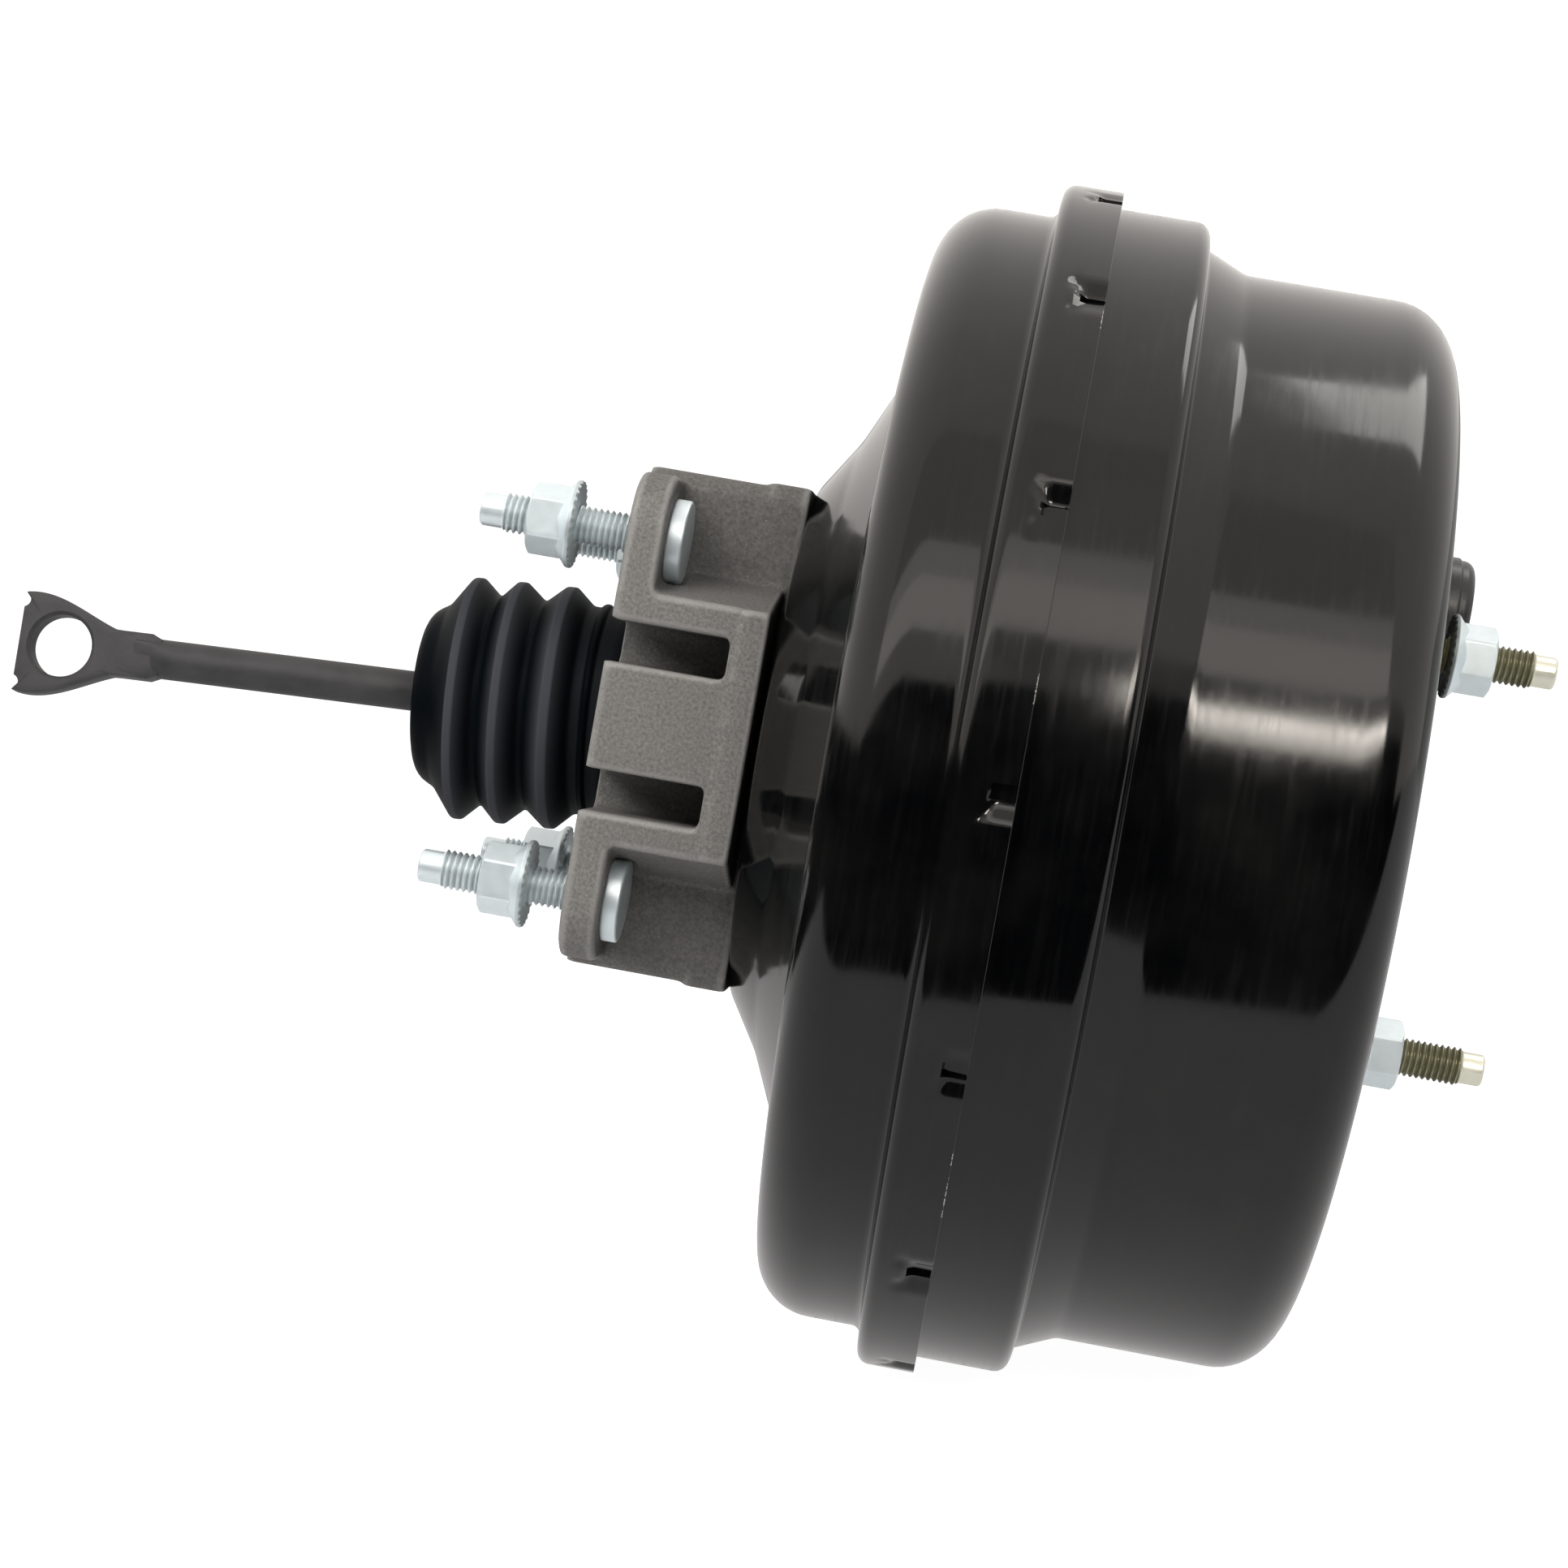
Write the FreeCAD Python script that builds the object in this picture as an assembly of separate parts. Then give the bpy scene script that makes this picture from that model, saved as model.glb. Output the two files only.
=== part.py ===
"""Tandem vacuum brake booster with its firewall bracket, push rod and studs.

Frame: X runs along the booster's axis, from the pedal (-X) to the master
cylinder (+X). The origin is on that axis, in the bracket's rear face, which
bolts to the firewall. Z is up. Lengths are millimetres.
"""
import math
import os

import FreeCAD
import Part

os.makedirs("parts", exist_ok=True)
V = FreeCAD.Vector
AXIS = V(1, 0, 0)
CENTRE = V(0, 0, 0)

# Driving dimensions of the shells
SHELL_R = 116.9
SHELL_WALL = 1.8
FRONT_WALL = 2.0
HUB_FACE_X = 33.0
HUB_FLAT_R = 54.0
CONE_KNEE_X = 40.5
CONE_KNEE_R = 65.5
VALLEY_X = 50.0
VALLEY_R = 86.0
CREST_X = 49.1
CREST_R = 96.0
RIM_ROUND = 12.0
BAND_R = SHELL_R + 7.1
BAND_START_X = 72.5
SEAM_X = 84.5
BIG_R = BAND_R - 3.3
BIG_END_X = 103.0
STEP_DROP = 9.0
SMALL_R = BIG_R - STEP_DROP
STEP_R = SMALL_R + 3.9
SMALL_START_X = 111.8
FRONT_FACE_X = 155.2
FRONT_ROUND = 12.5
PAD_R = 51.0
PAD_RISE = 2.0
PILOT_R = 21.5
PILOT_DEPTH = 10.5
CURL = 1.0

# Smallest corner radius drawn as an arc, on turned pieces and on wide sheets
SMALL_ARC = 2.0
SHEET_ARC = 10.0

# Straight runs in a turn of a spring
COIL_STEPS = 12

# Clearances
FLAT_GAP = 0.1
LOOSE_GAP = 0.3
RUN_GAP = 0.05
PRESS_GAP = 0.02

# Lances that lock the crimp
LANCE_COUNT = 15
LANCE_WIDTH = 11.0
LANCE_LENGTH = 5.0
LANCE_DEPTH = 1.4
SLIT_WIDTH = 2.3
SLIT_LENGTH = 1.6

# Sheet and rubber inside the shells
DIVIDER_WALL = 1.5
DIVIDER_X = 92.5
DIVIDER_FLAT_R = SMALL_R - 11.7
DIVIDER_SHOULDER_X = 99.0
BEAD_T = 2.5
RUBBER_T = 1.5
PLATE_T = 1.5
PRIMARY_X = 52.2
PRIMARY_PLATE_R = SHELL_R - 13.9
SECONDARY_X = 94.2
SECONDARY_PLATE_R = SMALL_R - 16.7
SKIRT = 8.0
SECONDARY_HUB_X = 100.2
PISTON_STROKE = 30.0

# Valve body and what rides in it
NECK_OUT_R = 15.5
NECK_IN_R = 13.2
NECK_END_X = -38.0
STOP_R = 20.0
FLANGE_R = 30.0
FLANGE_T = 4.4
SLEEVE_R = 22.0
FRONT_BOSS_R = 20.0
FRONT_BOSS_X = 112.0
CUP_R = 14.6
DISC_T = 5.0
PLUNGER_R = 7.95
PLUNGER_HEAD_R = 10.0
SEAT_X = 5.0
VACUUM_SEAT_GAP = 0.5
VALVE_STROKE = 1.5
JUMP_GAP = VALVE_STROKE + FLAT_GAP
KEY_X = 38.0
KEY_T = 2.5
PORT_R = 1.2
PORT_PITCH_R = 13.3

# Push rod, its ball and eye
BALL_X = 14.0
BALL_R = 6.0
SEAT_WALL = 1.0
ROD_R = 4.25
ROD_NECK_R = 3.3
ROD_DROOP = 2.9
EYE_DISTANCE = 136.3
EYE_HOLE_R = 6.7
EYE_END = 9.2
EYE_HALF_HEIGHT = 10.7
EYE_NECK_HALF = 4.9
EYE_THICK = 5.5
EYE_ROLL = 8.0
EYE_FLAT_LENGTH = 20.0
EYE_HOLE_CHAMFER = 0.7

# Dust boot, round its own drooping axis
BOOT_DROOP = 4.2
BOOT_PIVOT_X = 0.5
BOOT_PEAK_R = 25.8
BOOT_VALLEY_R = 22.0
BOOT_WALL = 1.4
BOOT_PITCH_NEAR = 10.6
BOOT_PITCH_FAR = 9.2
BOOT_FIRST_PEAK = 14.2
BOOT_END = 43.8
BOOT_FLAT_R = 12.5
CUFF_END_X = 13.0
HUB_NECK_R = 21.4
HUB_NECK_END_X = 2.0

# Bracket
BODY_HALF_Y = 29.0
BODY_HALF_Z = 51.4
PLATE_HALF_Y = 50.0
PLATE_HALF_Z = 49.3
PLATE_THICK = 7.5
PLATE_CORNER = 12.0
FOOT_X = 24.5
FOOT_RISE = 0.7
FRAME_HALF_Z = 25.2
FRAME_ROOT_HALF_Z = 31.2
FRAME_END_X = 31.0
BAR_INNER_Z = 19.0
BLOCK_HALF_Z = 10.7
WINDOW_END_X = 24.0
LIP_X = 25.6
LIP_RISE = 0.6
WINDOW_FLOOR_Y = 25.5
BRACKET_BORE_R = 23.6
EDGE_ROUND = 4.0

# Studs and nuts, M8
STUD_R = 4.0
PILOT_TIP_R = 3.4
PILOT_TIP = 4.5
NUT_FLATS = 13.0
NUT_HEIGHT = 9.6
NUT_FLANGE_R = 8.9
NUT_FLANGE_T = 1.3
FIREWALL_Y = 38.0
FIREWALL_Z = 36.4
FIREWALL_TIP_X = -31.0
HEAD_R = 8.5
HEAD_T = 3.5
MASTER_Z = 42.0
MASTER_TIP_X = 190.0
SHELL_STUD_Y = 17.0
SHELL_STUD_Z = 38.0
COUNTERBORE_R = 8.0
COUNTERBORE_DEPTH = 12.0
SMALL_NUT_R = 7.4
SMALL_NUT_T = 6.8
RING_T = 2.5

# Vacuum connection on the front face
VALVE_Y = 37.0
VALVE_Z = 52.9
VALVE_HOLE_R = 8.0
GROMMET_R = 11.4
GROMMET_T = 4.0
HOUSING_R = 12.3
HOUSING_END_X = 174.4
ELBOW_R = 7.4
ELBOW_X = 168.0
NIPPLE_R = 6.0
NIPPLE_BORE_R = 4.0
NIPPLE_END_Y = 72.0
BARREL_LENGTH = 15.5
CHECK_R = 6.6
CHECK_LIFT = 2.0


def corner(before, at, after, radius):
    """Give the two tangent points and the middle point of a rounded corner."""
    a = V(before[0] - at[0], 0, before[1] - at[1])
    b = V(after[0] - at[0], 0, after[1] - at[1])
    a.normalize()
    b.normalize()
    half = a.getAngle(b) / 2
    reach = radius / math.tan(half)
    middle = a + b
    middle.normalize()
    point = V(at[0], 0, at[1])
    centre = point + middle * (radius / math.sin(half))
    return point + a * reach, centre - middle * radius, point + b * reach


def path_edges(points, smallest_arc=SMALL_ARC):
    """Draw an open line of (x, r, corner radius) points, with chords for small corners."""
    edges = []
    last = V(points[0][0], 0, points[0][1])
    for i in range(1, len(points) - 1):
        radius = points[i][2] if len(points[i]) > 2 else 0
        if radius > 0:
            start, middle, end = corner(points[i - 1], points[i], points[i + 1], radius)
        else:
            start = V(points[i][0], 0, points[i][1])
            end = start
        if last.distanceToPoint(start) > 1e-4:
            edges.append(Part.makeLine(last, start))
        if radius >= smallest_arc:
            edges.append(Part.Arc(start, middle, end).toShape())
        elif radius > 0:
            edges.append(Part.makeLine(start, end))
        last = end
    final = V(points[-1][0], 0, points[-1][1])
    edges.append(Part.makeLine(last, final))
    return edges


def offset_points(points, wall):
    """Shift an open line to its left by a wall, with its corner radii."""
    normals = []
    for a, b in zip(points, points[1:]):
        run = math.hypot(b[0] - a[0], b[1] - a[1])
        normals.append((-(b[1] - a[1]) / run, (b[0] - a[0]) / run))
    moved = [(points[0][0] + normals[0][0] * wall, points[0][1] + normals[0][1] * wall)]
    for i in range(1, len(points) - 1):
        n, m = normals[i - 1], normals[i]
        scale = wall / (1 + n[0] * m[0] + n[1] * m[1])
        radius = points[i][2] if len(points[i]) > 2 else 0
        turn = n[0] * m[1] - n[1] * m[0]
        if radius > 0:
            radius = max(radius - abs(wall) if turn * wall > 0 else radius + abs(wall), 0.2)
        x = points[i][0] + (n[0] + m[0]) * scale
        r = points[i][1] + (n[1] + m[1]) * scale
        moved.append((x, r, radius))
    end = normals[-1]
    moved.append((points[-1][0] + end[0] * wall, points[-1][1] + end[1] * wall))
    return moved


def spin(edges):
    """Revolve a closed set of edges once round the booster's axis."""
    face = Part.Face(Part.Wire(Part.__sortEdges__(edges)))
    return face.revolve(CENTRE, AXIS, 360)


def sheet(points, wall):
    """Revolve a pressed sheet whose skin is the line and whose wall is to its left."""
    inner = offset_points(points, wall)
    edges = path_edges(points, SHEET_ARC) + path_edges(inner, SHEET_ARC)
    for a, b in ((points[0], inner[0]), (points[-1], inner[-1])):
        edges.append(Part.makeLine(V(a[0], 0, a[1]), V(b[0], 0, b[1])))
    return spin(edges)


def turned(points):
    """Revolve a closed outline of (x, r, corner radius) points."""
    closing = Part.makeLine(V(points[-1][0], 0, points[-1][1]), V(points[0][0], 0, points[0][1]))
    return spin(path_edges(points) + [closing])


def rod(x0, x1, radius, y=0.0, z=0.0):
    """Make a cylinder along X between two stations."""
    return Part.makeCylinder(radius, x1 - x0, V(x0, y, z), AXIS)


def tube(x0, x1, inner, outer, y=0.0, z=0.0):
    """Make a ring along X between two stations."""
    return rod(x0, x1, outer, y, z).cut(rod(x0, x1, inner, y, z))


def block(x0, x1, y0, y1, z0, z1):
    """Make a box between two corners."""
    return Part.makeBox(x1 - x0, y1 - y0, z1 - z0, V(x0, y0, z0))


def coil(x0, x1, r0, r1, wire, turns):
    """Wind a spring of six-sided wire in short straight runs between the planes x0 and x1."""
    reach = wire + 0.1
    steps = COIL_STEPS * turns
    points = []
    for i in range(steps + 1):
        share = i / steps
        turn = 2 * math.pi * i / COIL_STEPS
        r = r0 + (r1 - r0) * share
        points.append(V(x0 + reach + (x1 - x0 - 2 * reach) * share, r * math.cos(turn), r * math.sin(turn)))
    run = points[1] - points[0]
    out = V(0, points[0].y, points[0].z).normalize()
    up = run.cross(out).normalize()
    side = up.cross(run).normalize()
    ring = [points[0] + side * (wire * math.cos(math.radians(60 * i)))
            + up * (wire * math.sin(math.radians(60 * i))) for i in range(7)]
    return Part.makePolygon(points).makePipeShell([Part.makePolygon(ring)], True, False, 1)


def hexagon(x0, x1, flats):
    """Make a hexagonal bar along X."""
    corner_r = flats / math.sqrt(3)
    points = []
    for i in range(7):
        turn = math.radians(60 * i + 30)
        points.append(V(x0, corner_r * math.cos(turn), corner_r * math.sin(turn)))
    return Part.Face(Part.makePolygon(points)).extrude(V(x1 - x0, 0, 0))


def flange_nut(flange_x, y, z, sense):
    """Make a flange nut whose flange face is at flange_x and whose hexagon runs to `sense`."""
    bar = hexagon(0, NUT_HEIGHT, NUT_FLATS)
    corner_r = NUT_FLATS / math.sqrt(3)
    crown = Part.makeCone(corner_r + NUT_HEIGHT * 2 - 0.6, corner_r - 0.6, NUT_HEIGHT, CENTRE, AXIS)
    skirt = Part.makeCone(NUT_FLANGE_R, NUT_FLATS / 2, 2.6, V(NUT_FLANGE_T, 0, 0), AXIS)
    nut = bar.common(crown).fuse([rod(0, NUT_FLANGE_T, NUT_FLANGE_R), skirt])
    nut = nut.cut(rod(-1, NUT_HEIGHT + 1, STUD_R + PRESS_GAP)).removeSplitter()
    if sense < 0:
        nut.rotate(CENTRE, V(0, 0, 1), 180)
    nut.translate(V(flange_x, y, z))
    return nut


def stud(root_x, tip_x, y, z, head_x0, head_x1, head_r):
    """Make a headed stud whose plain pilot tip points away from its head."""
    sense = 1 if tip_x > root_x else -1
    neck_x = tip_x - sense * PILOT_TIP
    ends = sorted((root_x, neck_x))
    shank = rod(ends[0], ends[1], STUD_R, y, z)
    tip = Part.makeCylinder(PILOT_TIP_R, PILOT_TIP - 0.6, V(neck_x, y, z), V(sense, 0, 0))
    nose = Part.makeCone(PILOT_TIP_R, PILOT_TIP_R - 0.6, 0.6, V(tip_x - sense * 0.6, y, z), V(sense, 0, 0))
    return shank.fuse([tip, nose, rod(head_x0, head_x1, head_r, y, z)]).removeSplitter()


def four(y, z):
    """Give the four corners of a rectangle of fasteners."""
    return [(y, z), (-y, z), (-y, -z), (y, -z)]


def group(solids):
    """Hold separate solids together as one node."""
    return Part.makeCompound(solids)


def droop(shape, pivot_x, angle):
    """Turn a shape that lies along -X down about a point on the axis."""
    shape.rotate(V(pivot_x, 0, 0), V(0, 1, 0), -angle)
    return shape


def make_rear_shell():
    """Pressed rear shell, from its hub neck to the crimp band with its lances."""
    skin = [
        (HUB_NECK_END_X, HUB_NECK_R),
        (HUB_FACE_X, HUB_NECK_R, 3),
        (HUB_FACE_X, HUB_FLAT_R, 5),
        (CONE_KNEE_X, CONE_KNEE_R, 20),
        (VALLEY_X, VALLEY_R, 7),
        (CREST_X, CREST_R, 6),
        (CREST_X, SHELL_R, RIM_ROUND),
        (BAND_START_X, SHELL_R, 1.5),
        (BAND_START_X, BAND_R, 2.5),
        (SEAM_X, BAND_R),
    ]
    shell = sheet(skin, -SHELL_WALL)
    dents = []
    bumps = []
    slits = []
    start = SEAM_X - LANCE_LENGTH
    for i in range(LANCE_COUNT):
        turn = 360 * i / LANCE_COUNT + 90
        for store, rise in ((dents, 0.0), (bumps, SHELL_WALL)):
            top = BAND_R - rise
            wedge = Part.makePolygon([
                V(start, -LANCE_WIDTH / 2, top + 1), V(SEAM_X + 1, -LANCE_WIDTH / 2, top + 1),
                V(SEAM_X + 1, -LANCE_WIDTH / 2, top - LANCE_DEPTH),
                V(start + 1.5, -LANCE_WIDTH / 2, top - LANCE_DEPTH),
                V(start, -LANCE_WIDTH / 2, top - 0.2),
                V(start, -LANCE_WIDTH / 2, top + 1)])
            solid = Part.Face(wedge).extrude(V(0, LANCE_WIDTH, 0))
            solid.rotate(CENTRE, AXIS, turn)
            store.append(solid)
        slit = block(SEAM_X - SLIT_LENGTH, SEAM_X + 1, -SLIT_WIDTH / 2, SLIT_WIDTH / 2,
                     BAND_R - LANCE_DEPTH - SHELL_WALL - 1, BAND_R + 1)
        slit.rotate(CENTRE, AXIS, turn)
        slits.append(slit)
    room = tube(start - 1, SEAM_X, BAND_R - SHELL_WALL - 2, BAND_R - SHELL_WALL + 0.2)
    inner = [bump.common(room) for bump in bumps]
    shell = shell.fuse(inner).cut(dents).cut(slits)
    studs = [rod(HUB_FACE_X - 1, HUB_FACE_X + 4, STUD_R + PRESS_GAP, y, z)
             for y, z in four(SHELL_STUD_Y, SHELL_STUD_Z)]
    return shell.cut(studs).removeSplitter()


def front_rim_x():
    """Station where the front shell's rear edge meets the divider's flange."""
    return BAND_START_X + SHELL_WALL + BEAD_T + DIVIDER_WALL + FLAT_GAP


def make_front_shell():
    """Pressed front shell, two steps down to the master cylinder face."""
    rim = front_rim_x()
    skin = [
        (rim, BIG_R),
        (BIG_END_X, BIG_R, 2.8),
        (BIG_END_X, STEP_R, 1.2),
        (SMALL_START_X, SMALL_R, 5),
        (FRONT_FACE_X, SMALL_R, FRONT_ROUND),
        (FRONT_FACE_X, PAD_R + PAD_RISE, 2.5),
        (FRONT_FACE_X + PAD_RISE, PAD_R, 2.5),
        (FRONT_FACE_X + PAD_RISE, PILOT_R, 2.5),
        (FRONT_FACE_X + PAD_RISE - PILOT_DEPTH, PILOT_R),
    ]
    shell = sheet(skin, -FRONT_WALL)
    curl = tube(rim, rim + CURL, BIG_R - FRONT_WALL / 2, BAND_R - SHELL_WALL - LOOSE_GAP)
    holes = [rod(FRONT_FACE_X - 5, FRONT_FACE_X + 5, STUD_R + PRESS_GAP, 0, z)
             for z in (MASTER_Z, -MASTER_Z)]
    holes.append(rod(FRONT_FACE_X - 5, FRONT_FACE_X + 5, VALVE_HOLE_R, VALVE_Y, VALVE_Z))
    return shell.fuse(curl).cut(holes).removeSplitter()


def make_divider():
    """Pressed wall between the two chambers, with a collar for its seal."""
    rim = front_rim_x()
    side = BIG_R - FRONT_WALL - LOOSE_GAP
    skin = [
        (rim - FLAT_GAP / 2, BAND_R - SHELL_WALL - LOOSE_GAP),
        (rim - FLAT_GAP / 2, side),
        (DIVIDER_SHOULDER_X, side, 3),
        (DIVIDER_SHOULDER_X, DIVIDER_FLAT_R + 8, 3),
        (DIVIDER_X, DIVIDER_FLAT_R, 4),
        (DIVIDER_X, SLEEVE_R + 6.8, 2.5),
        (DIVIDER_SHOULDER_X, SLEEVE_R + 6.8),
    ]
    return sheet(skin, -DIVIDER_WALL)


def make_divider_seal():
    """Lip seal between the divider's collar and the sliding sleeve."""
    outer = SLEEVE_R + 6.8 - DIVIDER_WALL - RUN_GAP
    return turned([
        (DIVIDER_X - DIVIDER_WALL, SLEEVE_R + RUN_GAP), (DIVIDER_X - DIVIDER_WALL, outer),
        (DIVIDER_SHOULDER_X, outer), (DIVIDER_SHOULDER_X, SLEEVE_R + 2.5),
        (DIVIDER_SHOULDER_X - 3, SLEEVE_R + 1.6), (DIVIDER_SHOULDER_X - 1.2, SLEEVE_R + RUN_GAP)])


def make_primary_diaphragm():
    """Rear rolling diaphragm, from its clamped bead to the valve body."""
    bead_x = BAND_START_X + SHELL_WALL + FLAT_GAP / 2
    wall = SHELL_R - SHELL_WALL
    fold_x = PRIMARY_X + SKIRT + 3
    skirt_r = PRIMARY_PLATE_R + RUBBER_T + FLAT_GAP
    skin = [
        (bead_x + 1, wall - 1.2),
        (fold_x, wall - 2.5, 2.5),
        (fold_x - 0.6, skirt_r, 3),
        (PRIMARY_X, skirt_r, 4),
        (PRIMARY_X, FRONT_BOSS_R + 1.1),
    ]
    web = sheet(skin, RUBBER_T)
    bead = tube(bead_x, bead_x + BEAD_T - FLAT_GAP, wall - 3, BAND_R - SHELL_WALL - LOOSE_GAP - 2)
    return web.fuse(bead).removeSplitter()


def make_primary_plate():
    """Pressed support plate in front of the rear diaphragm."""
    x = PRIMARY_X + RUBBER_T + FLAT_GAP / 2
    skin = [
        (x + SKIRT, PRIMARY_PLATE_R),
        (x, PRIMARY_PLATE_R, 2.5),
        (x, 62, 3),
        (x + 1.6, 56, 3),
        (x + 1.6, 42, 3),
        (x, 36, 3),
        (x, FRONT_BOSS_R + 1.1),
    ]
    return sheet(skin, PLATE_T)


def make_secondary_diaphragm():
    """Front rolling diaphragm, clamped between the divider and the front shell's step."""
    bead_x = DIVIDER_SHOULDER_X + FLAT_GAP / 2
    fold_x = SECONDARY_X + SKIRT + 3
    skirt_r = SECONDARY_PLATE_R + RUBBER_T + FLAT_GAP
    skin = [
        (bead_x + 0.5, SMALL_R - 2.7),
        (fold_x, SMALL_R - 5.0, 2),
        (fold_x + 0.5, skirt_r, 3),
        (SECONDARY_X, skirt_r, 4),
        (SECONDARY_X, 47, 3),
        (SECONDARY_HUB_X, 38, 3),
        (SECONDARY_HUB_X, FRONT_BOSS_R + RUN_GAP),
    ]
    web = sheet(skin, RUBBER_T)
    bead = tube(bead_x, BIG_END_X - FRONT_WALL - FLAT_GAP / 2, SMALL_R - 4.0, SMALL_R + 5.0)
    return web.fuse(bead).removeSplitter()


def make_secondary_plate():
    """Pressed support plate in front of the front diaphragm."""
    lift = RUBBER_T + FLAT_GAP / 2
    skin = [
        (SECONDARY_X + lift + SKIRT, SECONDARY_PLATE_R),
        (SECONDARY_X + lift, SECONDARY_PLATE_R, 2.5),
        (SECONDARY_X + lift, 48, 3),
        (SECONDARY_HUB_X + lift, 39, 3),
        (SECONDARY_HUB_X + lift, FRONT_BOSS_R + RUN_GAP),
    ]
    return sheet(skin, PLATE_T)


def hub_front_x():
    """Front face of the secondary plate's hub."""
    return SECONDARY_HUB_X + RUBBER_T + FLAT_GAP / 2 + PLATE_T


def make_valve_body():
    """Moulded power piston: neck, stop, flange, sleeve and reaction cup."""
    flange_x = PRIMARY_X + RUBBER_T + FLAT_GAP + PLATE_T
    cup_x = FRONT_BOSS_X - DISC_T - 7.0
    sleeve_end = SECONDARY_HUB_X - FLAT_GAP / 2
    head_bore = PLUNGER_HEAD_R + 0.4
    stem_bore = PLUNGER_R + RUN_GAP
    body = turned([
        (NECK_END_X, NECK_IN_R), (NECK_END_X, NECK_OUT_R, 0.6),
        (hub_stop_x(), NECK_OUT_R), (hub_stop_x(), STOP_R, 1),
        (PRIMARY_X - 4, STOP_R), (PRIMARY_X - 4, STOP_R + 3.5), (PRIMARY_X - 2, STOP_R + 3.5),
        (PRIMARY_X - 2, STOP_R + 1), (flange_x, STOP_R + 1), (flange_x, FLANGE_R, 1),
        (flange_x + FLANGE_T, FLANGE_R, 1), (flange_x + FLANGE_T, SLEEVE_R),
        (sleeve_end, SLEEVE_R), (sleeve_end, FRONT_BOSS_R), (FRONT_BOSS_X, FRONT_BOSS_R, 0.8),
        (FRONT_BOSS_X, CUP_R), (cup_x, CUP_R), (cup_x, stem_bore),
        (BALL_X + 14, stem_bore), (BALL_X + 14, head_bore),
        (SEAT_X + VACUUM_SEAT_GAP, head_bore + 0.6), (SEAT_X + VACUUM_SEAT_GAP, head_bore + 1.3),
        (SEAT_X + 3, head_bore + 1.6), (SEAT_X + 3, NECK_IN_R)])
    ports = []
    for i in range(3):
        turn = 60 + 120 * i
        axial = rod(SEAT_X + 2.5, flange_x + FLANGE_T + 4, PORT_R, 0, PORT_PITCH_R)
        radial = Part.makeCylinder(PORT_R, 14, V(flange_x + FLANGE_T + 2.4, 0, PORT_PITCH_R), V(0, 0, 1))
        port = axial.fuse(radial)
        port.rotate(CENTRE, AXIS, turn)
        ports.append(port)
    slot = block(KEY_X - PRESS_GAP, KEY_X + KEY_T + PRESS_GAP, -STOP_R - 1, 0,
                 -PLUNGER_R + 0.5, PLUNGER_R - 0.5)
    return body.cut(ports).cut(slot)


def hub_stop_x():
    """Front face of the rear bearing's flange, which stops the piston."""
    return HUB_FACE_X + SHELL_WALL + 2.0


def make_rear_bearing():
    """Flanged guide bush of the valve body's neck."""
    bore = NECK_OUT_R + RUN_GAP
    seat = HUB_NECK_R - SHELL_WALL - RUN_GAP
    return turned([
        (HUB_FACE_X - 11, bore), (HUB_FACE_X - 11, seat), (HUB_FACE_X + SHELL_WALL + FLAT_GAP, seat),
        (HUB_FACE_X + SHELL_WALL + FLAT_GAP, STOP_R + 4), (hub_stop_x() - FLAT_GAP, STOP_R + 4, 0.5),
        (hub_stop_x() - FLAT_GAP, bore)])


def make_rear_seal():
    """Lip seal behind the rear bearing."""
    bore = NECK_OUT_R + RUN_GAP
    seat = HUB_NECK_R - SHELL_WALL - RUN_GAP
    end = HUB_FACE_X - 11 - FLAT_GAP
    return turned([
        (end - 8, bore + 1.8), (end - 8, seat), (end, seat), (end, bore + 1.2),
        (end - 4, bore + 1.2), (end - 6, bore), (end - 7, bore)])


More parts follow.
